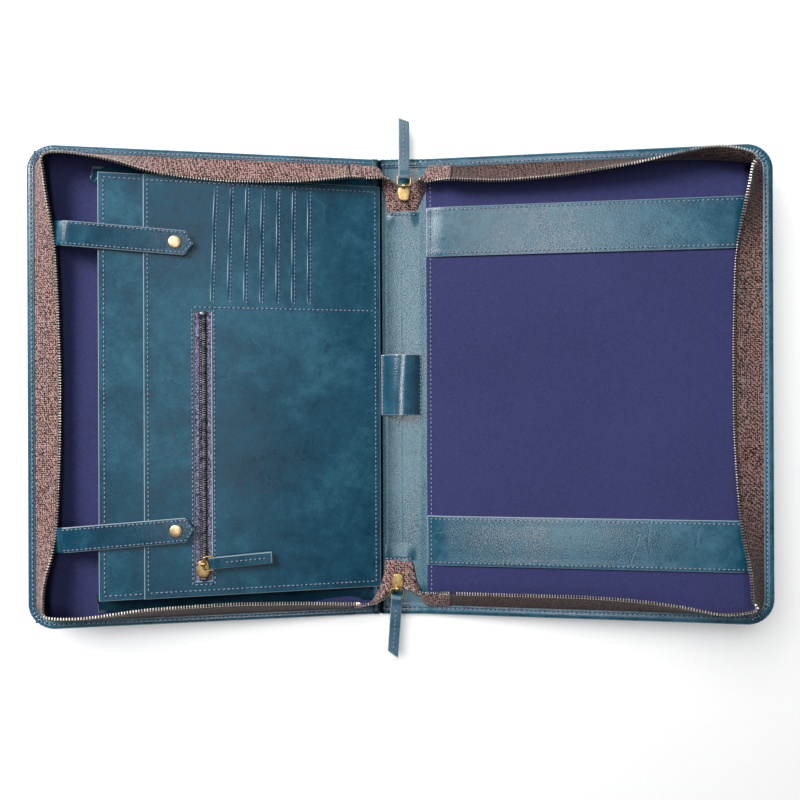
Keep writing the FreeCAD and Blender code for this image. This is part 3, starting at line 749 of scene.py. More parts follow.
def make_teeth(name, tape, place, replaces=None, body="own"):
    """A row of metal teeth clamped on the edge of a tape, given as rows of points across it."""
    places, ahead = resample(tape[:, -1], TOOTH_PITCH)
    behind, _ = resample(tape[:, -2], TOOTH_PITCH)
    count = min(len(places), len(behind))
    places, ahead = places[:count], ahead[:count]
    reach = unit(places - behind[:count])
    reach = unit(reach - ahead * (reach * ahead).sum(1, keepdims=True))
    axes = np.stack([ahead, reach, np.cross(ahead, reach)], 1)
    shape = copies(TOOTH, ring_faces(4, 4), places, axes)
    piece = make_piece(name, shape, place, "teeth", replaces, body)
    piece.data.polygons.foreach_set("use_smooth", [False] * len(piece.data.polygons))
    return piece


def tape_painted_shade(side, grid):
    """Painted shade over the tape: darker by the teeth, where it stands up, and along the bottom.
    """
    fall, along_bottom = (1.0, 0.7) if side == "left" else (2.6, 0.0)
    away = (1 - np.linspace(0, 1, grid.shape[1])) * TAPE_WIDTH
    steep = np.clip((grid[:, -1, 2] - grid[:, 0, 2]) / TAPE_WIDTH - 0.3, 0, 1)
    low = np.clip((-grid[:, 0, 1] - 152) / 10, 0, 1)
    dark = TAPE_PAINTED_SHADE[side] * (0.5 + steep[:, None]) + along_bottom * low[:, None]
    return np.maximum(np.clip(dark, 0, 0.7), np.exp(-away / fall))


def make_zip_side(side):
    """Half of the round zip: the leaning tape and its teeth."""
    grid = tape_rows(side, Rim(side))
    grid = grid[np.abs(grid[:, 0, 0]) >= ZIP_START - 0.5]
    points, faces, _ = slab(grid, TAPE)
    # Painted shade for the tape, passed to its material as the edge attribute.
    painted_shade = np.concatenate([tape_painted_shade(side, grid).ravel()] * 2)[:len(points)]
    make_piece(f"{side}_tape", (points, faces, painted_shade), side, "tape", f"{side}_zip_tape")
    make_teeth(f"{side}_teeth", grid, side, f"{side}_zip_teeth")
    return grid


# ---- spine ----

def cover_point(side, out, along, high):
    """A cover point in the spine's frame, in millimetres."""
    point = PLACES[side] @ (Vector((SIGN[side] * out, along, high)) * MM)
    return np.array(point) / MM


def make_spine():
    """The spine's outer leather, the stitched hems at its two ends, and the lips over the tapes."""
    xs, ys = lines(-SPINE_HALF, SPINE_HALF, 3), lines(-CASE_HALF, CASE_HALF, 6)
    flat_sheet("spine_outer", "spine", xs, ys, lambda x, y: 1.4, 1.4, "case",
               "spine_outer_leather")
    slit = extent("top_zip_end_tape", "spine")[0][1]
    for name, sign, middle in (("top", 1, 1.0), ("bottom", -1, -2.3)):
        line = [(x, sign * (CASE_HALF - SPINE_SEAM), SPINE_TOP + 0.66)
                for x in (-SPINE_HALF, SPINE_HALF - 2)]
        stitching(f"spine_{name}_stitching", [line], "spine")
        make_tape_lip(name, sign, middle, slit)


def spine_level(x, y):
    """The spine's inner leather against its even height: hollow to the left, with a crevice."""
    fade = np.clip((SPINE_HALF - np.abs(x)) / 4, 0, 1)
    hollow = 0.46 * (np.minimum(x - 8, 0) / SPINE_HALF) ** 2 * fade
    return swell(x, y, 0.09, 60, 8) - hollow - 2.7 * np.exp(-((x + SPINE_HALF + 0.8) / 1.2) ** 2)


def shade_spine(piece, x):
    """Paint shade into the spine's leather: darker toward the crevice on its left and over its left
    part.
    """
    set_attribute(piece, "painted_shade", 0.9 * np.exp(-((x + SPINE_HALF + 0.2) / 1.3) ** 2)
                  + 0.42 * np.clip(-(x + 1) / 9, 0, 1))


def make_tape_lip(name, sign, middle, slit):
    """The edge of the spine leather, pulled up over the end of the zip tapes and sewn down."""
    half, back, seam = 14.3, 16, slit - 2.6
    ys = np.sort(sign * lines(slit - back, slit, 0.9))

    def swelling(x, y):
        share = ease((half - np.abs(x - middle)) / 9)
        share *= ease((sign * y - slit + back) / (back - 2.5))
        groove = 0.3 * np.exp(-((sign * y - seam) / 0.6) ** 2)
        return SPINE_TOP + spine_level(x, y) - 0.06 + (1.36 - groove) * share

    grid = flat_grid(lines(middle - half, middle + half, 0.9), ys, swelling)
    points, faces, edge = slab(grid, 0.9)
    # Pale along the lip's slit edge: painted highlight on the cut edge, partly its own paler
    # colour.
    edge *= sign * points[:, 1] > slit - 0.6
    piece = make_piece(f"{name}_tape_lip", (points, faces, edge), "spine", "spine")
    shade_spine(piece, points[:, 0])
    line = [(middle + x, sign * seam, SPINE_TOP + 1.1) for x in (4 - half, half - 4)]
    stitching(f"{name}_tape_stitching", [line], "spine", pitch=2.8)


def bezier(points, count):
    """A smooth line from the first point to the last, drawn towards those between."""
    points = np.asarray(points, float)
    order = len(points) - 1
    share = np.linspace(0, 1, count)[:, None]
    return sum(math.comb(order, k) * (1 - share) ** (order - k) * share ** k * points[k]
               for k in range(order + 1))


def bend_at_hinge(piece):
    """Bake a piece's place into its mesh points."""
    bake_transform(piece)


def extrude(section, ys):
    """A grid that repeats a section of points at each place along the spine."""
    grid = np.repeat(np.asarray(section, float)[:, None], len(ys), axis=1)
    grid[..., 1] = ys
    return grid


def make_spine_half(side):
    """Half of the spine's inner leather, from its middle over the hinge to the cover, with hems."""
    sign = SIGN[side]
    flat = np.arange(-2, SPINE_HALF - 2.2, 1.1)
    reach, high = (4.5, 0.6) if side == "left" else (3.2, -0.3)
    start = (sign * (SPINE_HALF - 2.2), 0, SPINE_TOP)
    middle = [(sign * (SPINE_HALF - 0.6), 0, SPINE_TOP), (sign * HINGE, 0, SPINE_TOP + 0.5)]
    end = cover_point(side, reach, 0, LINING_TOP[side] + high)
    under = np.minimum(flat, 0)
    level = np.column_stack([sign * flat, 0 * flat, SPINE_TOP - 0.15 * under ** 2])
    section = np.concatenate([level, bezier([start, *middle, end], 13)])
    hem, seam = CASE_HALF - HEM_WIDTH["spine"], CASE_HALF - SPINE_SEAM
    ys = lines(-CASE_HALF + 0.1, CASE_HALF - 0.1, 3, extra=(hem, -hem, seam, -seam))
    grid = extrude(section, ys)
    inset = CASE_HALF - np.abs(ys)
    drop = 2.6 * np.clip(1 - inset / 0.9, 0, 1) ** 2
    groove = 0.2 * np.exp(-((inset - SPINE_SEAM) / 0.5) ** 2)
    hemmed = 0.5 - 0.5 * np.tanh((inset - HEM_WIDTH["spine"]) / 0.4)
    pucker = 0.22 * np.sin(grid[..., 0] * 1.7) * np.clip(1 - inset / 6, 0, 1)
    grid[..., 2] += 0.75 * hemmed - groove - drop + pucker + spine_level(grid[..., 0], grid[..., 1])
    points, faces, _ = slab(grid, LEATHER)
    node = "spine_inner_leather" if side == "left" else None
    piece = make_piece(f"spine_inner_{side}", (points, faces), "spine", "spine", node, None)
    shade_spine(piece, points[:, 0])
    bend_at_hinge(piece)


def make_outer_fold(side):
    """The outer leather that crosses from the spine to a cover and bends at the hinge."""
    sign = SIGN[side]
    start = (sign * (SPINE_HALF - 0.8), 0, 0.75)
    end = cover_point(side, 5.0, 0, COVER_BOTTOM + 0.6)
    section = bezier([start, (sign * (HINGE + 1), 0, 0.2), end], 13)
    grid = extrude(section, lines(-CASE_HALF + 0.1, CASE_HALF - 0.1, 3))
    shape = slab(grid, LEATHER)[:2]
    bend_at_hinge(make_piece(f"{side}_fold_outer", shape, "spine", "case", body=None))


def make_pen_loop():
    """The arched leather loop, with stitched flanges."""
    low, high = extent("pen_loop", "spine")
    half = high[0] + 0.7
    crown_x, foot, top = 0.3, SPINE_TOP + 1.0, high[2]
    radius = ((half - 1.9) ** 2 + (top - foot) ** 2) / (2 * (top - foot))
    centre = top - radius
    angle = math.acos((foot - centre) / radius) * 0.98
    arch = [(crown_x + radius * math.sin(a), centre + radius * math.cos(a))
            for a in np.linspace(-angle, angle, 33)]
    flange = [(half - 0.9, foot + 0.05), (half - 0.35, foot + 0.05), (half, foot)]
    section = [(-x, z) for x, z in flange[::-1]] + arch + flange
    grid = extrude([(x, 0, z) for x, z in section], lines(low[1], high[1], 2))
    rise = np.clip(grid[..., 2] - foot, 0, None) / (top - foot)
    grid[..., 0] += 0.045 * grid[..., 1] * rise
    grid[..., 2] += swell(grid[..., 0], grid[..., 1], 0.12, 30, 5)
    make_piece("pen_loop_leather", slab(grid, LEATHER), "spine", "loop", "pen_loop")
    paths = [[(x, low[1] + 0.8, foot + 0.1), (x, high[1] - 0.8, foot + 0.1)]
             for x in (-half + 0.9, half - 0.9)]
    stitching("pen_loop_stitching", paths, "spine", pitch=2.8, radius=0.3)


# ---- zip ends ----

# Where each half of the zip runs from its cover to its end on the spine. Each station gives the
# tape's sewn foot and its toothed edge, x, y and z each, from near the cover to under the leather.
WINGS = {
    ("top", "left"): [
        (-27, 166.4, 5.9, -27, 154.2, 17), (-18, 165.6, 5.3, -19, 154.0, 17.4),
        (-14.6, 160, 5.3, -13.2, 154.2, 17), (-14.4, 151, 5.0, -7.2, 152.9, 12.6),
        (-12.9, 145.4, 4.9, -2.6, 150.4, 8.6), (-11.8, 140, 4.9, 2.6, 145, 6.8),
        (-11, 136, 4.9, 6.6, 138, 6.4), (-10.5, 131, 4.1, 6.7, 131, 4.8)],
    ("top", "right"): [
        (27, 166.2, 5.9, 27, 152.8, 17), (20, 165.2, 5.4, 18.5, 151.8, 16),
        (18.6, 158.5, 5.3, 14.6, 153.6, 16.4), (19.3, 149.8, 5.1, 10, 152.6, 12.4),
        (17.4, 144, 4.9, 6, 149.9, 8.6), (15.4, 140, 4.8, 1.5, 145, 6.6),
        (13.8, 136, 4.7, -3, 138, 5.6), (12.4, 131, 4.0, -4.4, 131, 4.3)],
    ("bottom", "left"): [
        (-31, -165, 6.4, -31, -160.6, 20), (-24, -162, 5.6, -23.4, -160.6, 18),
        (-19.4, -155, 5.2, -16.4, -158.8, 14), (-16.6, -149, 5.0, -9.6, -155.4, 10),
        (-15, -144.5, 4.9, -6.6, -152, 7.6), (-14, -140, 4.9, -3.6, -146.5, 6.7),
        (-13.5, -136, 4.9, 0.4, -139, 6.4), (-13.1, -131, 4.1, 0.5, -131, 4.8)],
    ("bottom", "right"): [
        (27, -166, 6, 27, -153.3, 17.5), (19, -165.4, 5.3, 18.5, -153, 17),
        (14.6, -160.5, 5.2, 13.6, -152.8, 16.4), (14.2, -154, 5.1, 8.8, -153.4, 12.4),
        (12.3, -149.5, 5.0, 3.4, -151.8, 8.6), (10.8, -144, 4.8, -2, -147, 6.6),
        (9.6, -138, 4.7, -6, -139.5, 5.6), (8.6, -131, 4.0, -7, -131, 4.3)],
}
# The stations as far as which a wing has teeth, and past which the leather covers it.
TOOTHED, COVERED = 5.2, 5.4


def catmull(stations, step):
    """Smooth rows between stations (an array of rows of points), close to that far apart."""
    before, after = 2 * stations[0] - stations[1], 2 * stations[-1] - stations[-2]
    knots = np.concatenate([before[None], stations, after[None]])
    rows, marks = [], []
    for index in range(len(stations) - 1):
        a, b, c, d = knots[index:index + 4]
        count = max(2, int(np.linalg.norm(c - b, axis=-1).max() / step))
        for share in np.arange(count) / count:
            rows.append(0.5 * (2 * b + (c - a) * share + (2 * a - 5 * b + 4 * c - d) * share ** 2
                               + (3 * b - a - 3 * c + d) * share ** 3))
            marks.append(index + share)
    return np.array(rows + [stations[-1]]), np.array(marks + [len(stations) - 1])


def wing_station(foot, crest, columns):
    """Points across the tape from foot to crest, bulging a little where it has width to spare."""
    foot, crest = np.array(foot, float), np.array(crest, float)
    share = np.linspace(0, 1, columns)[:, None]
    spare = max(0.0, TAPE_WIDTH - np.linalg.norm(crest - foot))
    row = foot + (crest - foot) * share
    return row + np.array((0, 0, 0.35)) * spare * share * (1 - share) * 4 * min(1, crest[2] / 9)


def make_wing(end, side, tape):
    """The tape from the cover's run to its end on the spine, with teeth as far as the slider."""
    last = tape[[3, 0]] if end == "top" else tape[[-4, -1]]
    stations = [[cover_point(side, SIGN[side] * x, y, z) for x, y, z in row] for row in last]
    stations += [wing_station(row[:3], row[3:], tape.shape[1]) for row in WINGS[end, side]]
    rows, marks = catmull(np.array(stations), 1.5)
    rows, marks = rows[marks >= 1], marks[marks >= 1] - 2
    wing = make_piece(f"{end}_{side}_wing", slab(rows, TAPE)[:2], "spine", "tape", body=None)
    teeth = make_teeth(f"{end}_{side}_wing_teeth", rows[marks <= TOOTHED], "spine", body=None)
    for piece in (wing, teeth):
        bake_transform(piece)
    return rows[marks >= COVERED] - np.array((0, 0, 0.5))


def make_zip_ends(tapes):
    """The four wings, and the ends of the tapes sewn flat under the spine leather."""
    for end in ("top", "bottom"):
        flats = [slab(make_wing(end, side, tapes[side]), 0.7)[:2] for side in SIGN]
        make_piece(f"{end}_tape_end", joined(*flats), "spine", "tape", f"{end}_zip_end_tape")


# ---- pockets ----

def bow(x, y):
    """How the pocket leather rises and sinks."""
    return swell(x, y, 0.22, 80, 11)


def make_file_pocket():
    """The document pocket's front, its folded gussets and their stitching."""
    left, right = POCKET_LOW[0] + 2.5, POCKET_HIGH[0] + 2.2
    half, top = POCKET_HIGH[1], POCKET_HIGH[2]
    flat_sheet("file_pocket_front", "organizer", lines(left, right, 5), lines(-half, half, 5),
               lambda x, y: top + bow(x, y), 1.2, "pocket", "file_pocket_panel")
    edge = half - 3.8
    inner = extent("organizer_panel", "organizer")[0][0] + 1
    path = [(inner, edge), (left + 4, edge), (left + 4, -edge), (inner, -edge)]
    stitching("file_pocket_stitching", [drape(path, top)], "organizer")
    for name, sign in (("upper", 1), ("lower", -1)):
        make_gusset(name, sign)


def drape(path, top, shape=bow):
    """Lay a path of (x, y) on a surface, in short steps."""
    path = np.array([(*point, 0) for point in path], float)
    points, _ = resample(path, 1.5)
    points[:, 2] = top + shape(points[:, 0], points[:, 1])
    return points


def make_gusset(name, sign):
    """A bellows gusset: sewn to the lining, folded inward, and sewn under the pocket's edge. Past
    the pocket's mouth its folds close to a tongue."""
    panel_edge = PLACES["organizer"] @ Vector((POCKET_LOW[0] * MM, 0, 0))
    mouth = -(PLACES["left"].inverted() @ panel_edge)[0] / MM - 2.5
    fold, tongue, outer, sewn = (143.5, 6.5, 159, 149.5) if sign > 0 else (146, 3.4, 163, 149.5)
    rows = []
    for out in lines(3, mouth + tongue, 3):
        past = np.clip((out - mouth) / tongue, 0, 1)
        close = min(1, 3 * past)
        turn = fold + 6 * (1 - math.sqrt(1 - past ** 2))
        climb = (min(out, mouth) - 5) * math.tan(math.radians(3.3)) - 0.6
        rise = max(0.0, climb) * (1 - 0.15 * past)
        last = sewn + (turn + 1.4 - sewn) * close
        section = [(outer, 0.5), (outer - 8, 0.6 + 0.16 * rise), (turn + 1.2, 0.5 + 0.42 * rise),
                   (turn, 0.6 + 0.47 * rise),
                   (turn + 1.2 - 0.6 * close, 0.7 + (0.52 - 0.1 * close) * rise),
                   (last, 0.9 + (0.97 - 0.6 * close) * rise)]
        row = [(-out, sign * y, LINING_TOP["left"] - 0.4 + high) for y, high in section]
        rows.append(points_at(row, np.arange(len(row)), np.linspace(0, len(row) - 1, 26)))
    points, faces, edge = slab(np.array(rows), 0.7)
    # Pale cut edges past the mouth: partly their own paler colour, partly painted highlight.
    edge *= (points[:, 0] < -mouth) * (0.5 + 0.2 * sign)
    # The lower gusset takes the darkened leather: painted shade.
    make_piece(f"{name}_gusset", (points, faces, edge), "left", "pocket" if sign > 0 else "gusset",
               f"{name}_pocket_gusset")


def make_organizer():
    """The organizer front with its zip window, all its stitching, and the card slots."""
    low, high = extent("organizer_panel", "organizer")
    left, right, half, top = low[0] + 1, POCKET_HIGH[0] + 4.4, high[1], high[2]
    tape_low, tape_high = extent("inner_zip_teeth", "organizer")
    middle = (tape_low[0] + tape_high[0]) / 2
    west, east, south, north = middle - 5.8, middle + 5.8, tape_low[1] - 3, tape_high[1] + 3
    xs = lines(left, right, 4, extra=(west, east))
    ys = lines(-half, half, 4, extra=(south, north))
    x, y = np.meshgrid((xs[1:] + xs[:-1]) / 2, (ys[1:] + ys[:-1]) / 2, indexing="ij")
    window = (x > west) & (x < east) & (y > south) & (y < north)
    front = flat_sheet("organizer_front", "organizer", xs, ys, lambda x, y: top + bow(x, y), 1.15,
                       "pocket", "organizer_panel", None, ~window)
    bend_at_hinge(front)
    edge, seam, divider = half - 4.4, right - 3.8, north + 3
    start, below, after = west - 1.6, south - 2.4, east + 2.2
    paths = [[(left + 3, -edge), (left + 3, edge), (seam, edge), (seam, -edge), (left + 3, -edge)],
             [(start, divider), (seam, divider)],
             [(start, divider), (start, below), (after, below), (after, divider)]]
    seams = stitching("organizer_stitching", [drape(path, top) for path in paths], "organizer",
                      body=None)
    bend_at_hinge(seams)
    make_card_slots(top)
    make_inner_zip(middle, south, north)


def make_card_slots(top):
    """Seven card slots: each a slit with a raised lip, pale along its cut edge (partly its own
    paler colour, partly painted highlight), and a line of stitches beside it.
    """
    seams = []
    for index in range(1, 8):
        low, high = extent(f"card_slot_{index}", "organizer")
        mouth = low[0]
        xs, ys = lines(mouth, mouth + 5, 0.8), lines(low[1] + 1, high[1] - 1, 3)
        grid = flat_grid(xs, ys, lambda x, y: top + bow(x, y))
        x, y = grid[..., 0], grid[..., 1]
        ends = np.clip(np.minimum(y - ys[0], ys[-1] - y) / 9, 0, 1)
        rise = 0.6 * ends ** 0.5 * np.clip(1 - (x - mouth) / 4, -0.3, 1) - 0.2
        grid[..., 2] += rise - 0.2 * np.exp(-((x - mouth - 2.0) / 0.45) ** 2) * ends
        share, rank = (y - low[1]) / (high[1] - low[1]), (index - 1) / 6
        slant = (1.3 * rank - 0.7) * (1 - share) + (2.5 - 1.5 * rank) * share
        grid[..., 0] += slant + swell(y, 0 * y, 0.14, 45, index)
        points, faces, edge = slab(grid, 0.45)
        straight = np.concatenate([slant.ravel()] * 3)[:len(points)]
        # Pale lip edge, partly painted highlight, broken along its length.
        edge *= points[:, 0] - straight < mouth + 0.6
        edge *= np.clip(0.45 + 0.45 * np.sin(points[:, 1] / 5.3 + 2.3 * index), 0, 1)
        make_piece(f"card_slot_lip_{index}", (points, faces, edge), "organizer", "pocket",
                   f"card_slot_{index}")
        seam = grid[np.searchsorted(xs, mouth + 2.0)].copy()
        seam[:, 2] = np.maximum(seam[:, 2], top + bow(seam[:, 0], seam[:, 1])) + 0.05
        seams.append(seam)
    stitching("card_slot_stitching", seams, "organizer", pitch=2.9, radius=0.3)


def make_inner_zip(middle, south, north):
    """The pocket's zip behind its window: two woven tapes, meshed dark teeth and end stops."""
    top = extent("inner_zip_tape", "organizer")[1][2] + 0.15
    tapes = []
    for sign in (-1, 1):
        xs = np.sort(middle + sign * lines(0.9, 7.2, 1.2))
        grid = flat_grid(xs, lines(south - 1.5, north + 1.5, 3),
                         lambda x, y: top - 0.12 * np.abs(x - middle) / 7 + bow(x, y))
        tapes.append(slab(grid, 0.5)[:2])
    points, faces = joined(*tapes)
    dark = (np.abs(points[:, 0] - middle) < 3.0) * 0.9
    make_piece("inner_tape", (points, faces, dark), "organizer", "inner_tape", "inner_zip_tape")
    low, high = extent("inner_zip_teeth", "organizer")
    tooth = np.array([(x, y, z) for x, wide in ((-1.3, 0.36), (-0.7, 0.46), (0.9, 0.46), (1.3, 0.3))
                      for y, z in ((-wide, -0.6), (wide, -0.6), (wide, 0.6), (-wide, 0.6))])
    rows = []
    pitch = 1.6
    count = int((high[1] - low[1] - 1) / pitch)
    for sign, shift in ((-1, 0), (1, pitch / 2)):
        places = np.array([(middle + sign * 0.85, low[1] + 0.5 + shift + pitch * k, high[2] - 0.6)
                           for k in range(count)])
        places[:, 2] += bow(places[:, 0], places[:, 1])
        axes = np.broadcast_to(np.array([(-sign, 0, 0), (0, -sign, 0), (0, 0, 1)]), (count, 3, 3))
        rows.append(copies(tooth, ring_faces(4, 4), places, axes))
    make_piece("inner_teeth", joined(*rows), "organizer", "dark_teeth", "inner_zip_teeth")
    for name in ("lower", "upper"):
        low, high = extent(f"inner_zip_{name}_stop", "organizer")
        outline = [(low[0], low[1]), (high[0], low[1]), (high[0], high[1]), (low[0], high[1])]
        levels = [(low[2], 0.2), (low[2] + 0.2, 0), (high[2] - 0.4, 0), (high[2], 0.4)]
        make_piece(f"inner_{name}_stop", plate(outline, levels), "organizer", "dark_teeth",
                   f"inner_zip_{name}_stop")


# ---- straps ----

def strap_bend(x):
    """How far the strap drops toward its sewn end."""
    return -0.03 * np.clip(9 - x, 0, None) ** 2 - 0.012 * np.clip(-x, 0, None) ** 2.4


def make_strap(name):
    """A strap with a pointed stitched tip and a snap, its sewn root, and the bend between them."""
    place = f"{name}_strap"
    hinge = joint(f"{name}_strap_hinge")
    up = facing(place)
    axis = Vector(hinge["axis"])
    PLACES[place] = stand(hinge["pos_m"], -axis if axis.y < 0 else axis, up)
    tip, half, top = extent(place, place)[1]

    def width(x):
        return half * (1 - 0.93 * np.clip((x - tip + 5.6) / 5.6, 0, 1))

    def surface(xs):
        shares = np.concatenate([[-1, -0.96], np.linspace(-0.9, 0.9, 13), [0.96, 1]])
        x, share = np.meshgrid(xs, shares, indexing="ij")
        crown = -0.35 * share ** 4 + 0.05 * np.sin(x / 9)
        return np.stack([x, share * width(x), top + strap_bend(x) + crown], -1)

    for part, start, end, body, node in (("root", -12, -3, "left_cover", f"{name}_strap_root"),
                                         ("band", 2.5, tip, "own", place)):
        make_piece(f"{name}_strap_{part}", slab(surface(lines(start, end, 1.6)), 1.7), place,
                   "strap", node, body)
    bend = surface(lines(-4, 4, 1)) + np.array((0, 0, 0.04))
    piece = make_piece(f"{name}_strap_bend", slab(bend, 1.78)[:2], place, "strap", body=None)
    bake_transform(piece)
    inset = 1.9
    side = [(x, half - inset) for x in np.linspace(3, tip - 6.6, 30)]
    outline = side + [(tip - inset, 1.2), (tip - inset, -1.2)] + [(x, -y) for x, y in side[::-1]]
    path = [(x, y, top + strap_bend(x) - 0.1) for x, y in outline]
    stitching(f"{name}_strap_stitching", [path], place, pitch=2.9)
    make_snap(name, place, top)


def make_snap(name, place, top):
    """The domed brass cap on the strap, its socket ring below, and the stud on the pocket."""
    low, high = extent(f"{name}_snap_cap", place)
    size, rise = (high[0] - low[0]) / 2, high[2] - top
    dome = [(size - 0.2, -0.3), (size + 0.1, 0.0), (size + 0.15, 0.3 * rise)]
    dome += [(size * math.cos(a), rise * (0.35 + 0.65 * math.sin(a)))
             for a in np.linspace(0.25, math.pi / 2 - 0.05, 8)]
    socket = [(3.4, -1.75), (3.4, -2.1), (3.0, -2.25), (2.3, -2.2), (2.2, -1.75)]
    points, faces = joined(revolve(dome + [(0.02, rise)]), revolve(socket))
    points += ((low[0] + high[0]) / 2, (low[1] + high[1]) / 2, top)
    make_piece(f"{name}_snap_dome", (points, faces), place, "snap", f"{name}_snap_cap")
    low, high = extent(f"{name}_snap_stud", "organizer")
    size, tall = (high[0] - low[0]) / 2, high[2] - low[2]
    points, faces = revolve([(size + 1.6, -0.1), (size + 1.6, 0.25), (size + 0.3, 0.4),
                             (size - 0.4, 0.5 * tall), (size, 0.8 * tall), (size - 0.5, tall),
                             (0.02, tall)])
    points += ((low[0] + high[0]) / 2, (low[1] + high[1]) / 2, low[2])
    make_piece(f"{name}_stud", (points, faces), "organizer", "snap", f"{name}_snap_stud")


# ---- sliders and pulls ----

def make_slider(name):
    """A domed shield-shaped slider: two plates round a post, with an arched crown for the bail."""
    place = f"{name}_slider"
    low, high = extent(f"{name}_slider_body", place)
    turn = -1 if name == "inner" else 1
    half, long, deep = 1.07 * high[0] * turn, 1.05 * high[1] * turn, -low[2] / 2
    side = [(0.7, -1), (0.86, -0.4), (1.02, 0.1), (0.9, 0.55), (0.45, 1.02)]
    outline = [(-0.7 * half, -long)] + [(x * half, y * long) for x, y in side]
    outline += [(-x * half, y * long) for x, y in side[:0:-1]]
    upper = [(-deep + 0.7, 0.3), (-deep + 0.9, 0), (-0.6, 0), (-0.25, 0.15), (0.0, 0.5),
             (0.12, 1.1), (0.2, 2.4), (0.25, 4.0)]
    lower = [(-2 * deep + 0.1, 0.5), (-2 * deep + 0.35, 0.1), (-deep - 0.9, 0), (-deep - 0.7, 0.3)]
    post = [(-0.9, -0.45 * long), (0.9, -0.45 * long), (1.2, 0.1 + 0.45 * long),
            (-1.2, 0.1 + 0.45 * long)]
    parts = [plate(outline, upper), plate(outline, lower),
             plate(post, [(-deep - 1, 0), (-deep + 1, 0)])]
    make_piece(f"{name}_slider_plates", joined(*parts), place, "gold", f"{name}_slider_body")
    low, high = extent(f"{name}_slider_crown", place)
    middle, reach, tall = (low[1] + high[1]) / 2, (high[1] - low[1]) / 2, high[2]
    half = (high[0] - low[0]) / 2
    grid = np.array([[(x, middle + reach * math.cos(a), 0.2 + (tall - 0.2) * math.sin(a) ** 0.7)
                      for x in (-half, -half + 0.3, -0.4, 0.4, half - 0.3, half)]
                     for a in np.linspace(0.0, math.pi, 15)])
    crown = slab(grid, 0.9, up=grid - (0, middle, 0))[:2]
    make_piece(f"{name}_crown", crown, place, "gold", f"{name}_slider_crown")
    make_pull(name)


def make_pull(name):
    """The wire bail and the folded, stitched leather pull."""
    place = f"{name}_pull"
    low, high = extent(f"{name}_bail", place)
    radius = (high[2] - low[2]) / 2
    half, near, far = high[0] - radius, low[1] + radius, high[1] - radius
    side = [(half * 0.8, near), (half, near + 1.6), (half, far - 0.6), (half - 0.6, far)]
    outline = soften([(-half * 0.8, near)] + side + [(-x, y) for x, y in side[:0:-1]])
    wire = np.column_stack([outline, np.full(len(outline), (low[2] + high[2]) / 2)])
    make_piece(f"{name}_bail_wire", tube(wire, radius, closed=True), place, "gold", f"{name}_bail")
    low, high = extent(f"{name}_pull_leather", place)
    half, tip, centre = (high[0] - low[0]) / 2, high[1], (low[2] + high[2]) / 2
    thick, loop = (high[2] - low[2]) / 2, radius + 1.15
    slant = {"top": -1.6, "bottom": -2.6, "inner": 0.0}[name]
    flat = [(tip, thick), ((tip + far) / 2, thick), (far + 4, thick)]
    section = [(y, -z) for y, z in flat]
    section += [(far + 1.7 * loop * math.sin(a), loop * math.cos(a))
                for a in np.linspace(math.pi - 0.3, math.tau + 0.3, 13)]
    section += flat[::-1]
    steps = distances(section)
    marks = np.unique(np.concatenate([np.linspace(0, steps[-1], 70), steps[3:16],
                                      [0.35, steps[-1] - 0.35]]))
    xs = lines(-half, half, 1.1, soft=0.3)
    grid = np.array([[(x, y, z) for x in xs] for y, z in points_at(section, steps, marks)])
    beyond = np.clip((grid[..., 1] - far) / (tip - far), 0, 1)
    grid[..., 1] += slant * grid[..., 0] / half * beyond ** 3
    grid[..., 2] += 0.25 * np.sin(beyond * 7) * beyond + centre
    grid[..., 2] *= 1 - 0.1 * (grid[..., 0] / half) ** 6
    outward = grid - (0, 0, centre)
    outward[..., 0] = 0
    outward[..., 1] = np.clip(far - grid[..., 1], -1, 1)
    make_piece(f"{name}_pull_strip", slab(grid, LEATHER, up=outward), place,
               "pocket" if name == "inner" else "case", f"{name}_pull_leather")
    ys = np.linspace(far + 8, tip - 4, 40)
    share = (ys - far) / (tip - far)
    path = np.stack([0 * ys, ys, thick + centre + 0.25 * np.sin(share * 7) * share], -1)
    stitching(f"{name}_pull_stitching", [path], place, pitch=3.2)


# ---- pad bands ----

def make_band(name):
    """A leather band across the right cover that holds a writing pad, hemmed along both edges."""
    (_, near, _), (end, far, top) = extent(f"{name}_pad_band", "right")
    middle, span, start, hem = (near + far) / 2, (far - near) / 2, 1.5, 2.5

    def height(x, y):
        arch = ease(np.minimum(x - start, end - x) / 14)
        out = np.abs(y - middle) - span + hem
        roll = 0.3 * np.exp(-((out + 0.1) / 1.6) ** 2) - 0.28 * np.exp(-(out / 0.5) ** 2)
        sag = 0.5 * np.cos((y - middle) / span * 1.4) * arch
        return top - 0.9 * (1 - arch) + roll + sag - 0.35 + swell(x, y, 0.14, 70, 21)

    flat_sheet(f"{name}_band", "right", lines(start, end, 3.5), lines(near, far, 2), height, 1.2,
               "case", f"{name}_pad_band")
    south, north = near + hem, far - hem
    paths = [[(2.5, south), (end - 2, south)], [(2.5, north), (end - 2, north)],
             [(4.6, south), (4.6, north)]]
    stitching(f"{name}_band_stitching", [drape(path, 0.1, height) for path in paths], "right")


def make_lining_seam():
    """The stitches along the right lining's edge, beside the spine, between the bands."""
    reach, high = CASE_HALF - 8, LINING_TOP["right"] + 0.1
    bands = [extent(f"{name}_pad_band", "right") for name in ("lower", "upper")]
    ends = [-reach, *(corner[1] for band in bands for corner in band), reach]
    paths = [[(4.6, start, high), (4.6, end, high)] for start, end in zip(ends[::2], ends[1::2])]
    stitching("right_lining_stitching", paths, "right", pitch=3.2)


# ---- scene ----

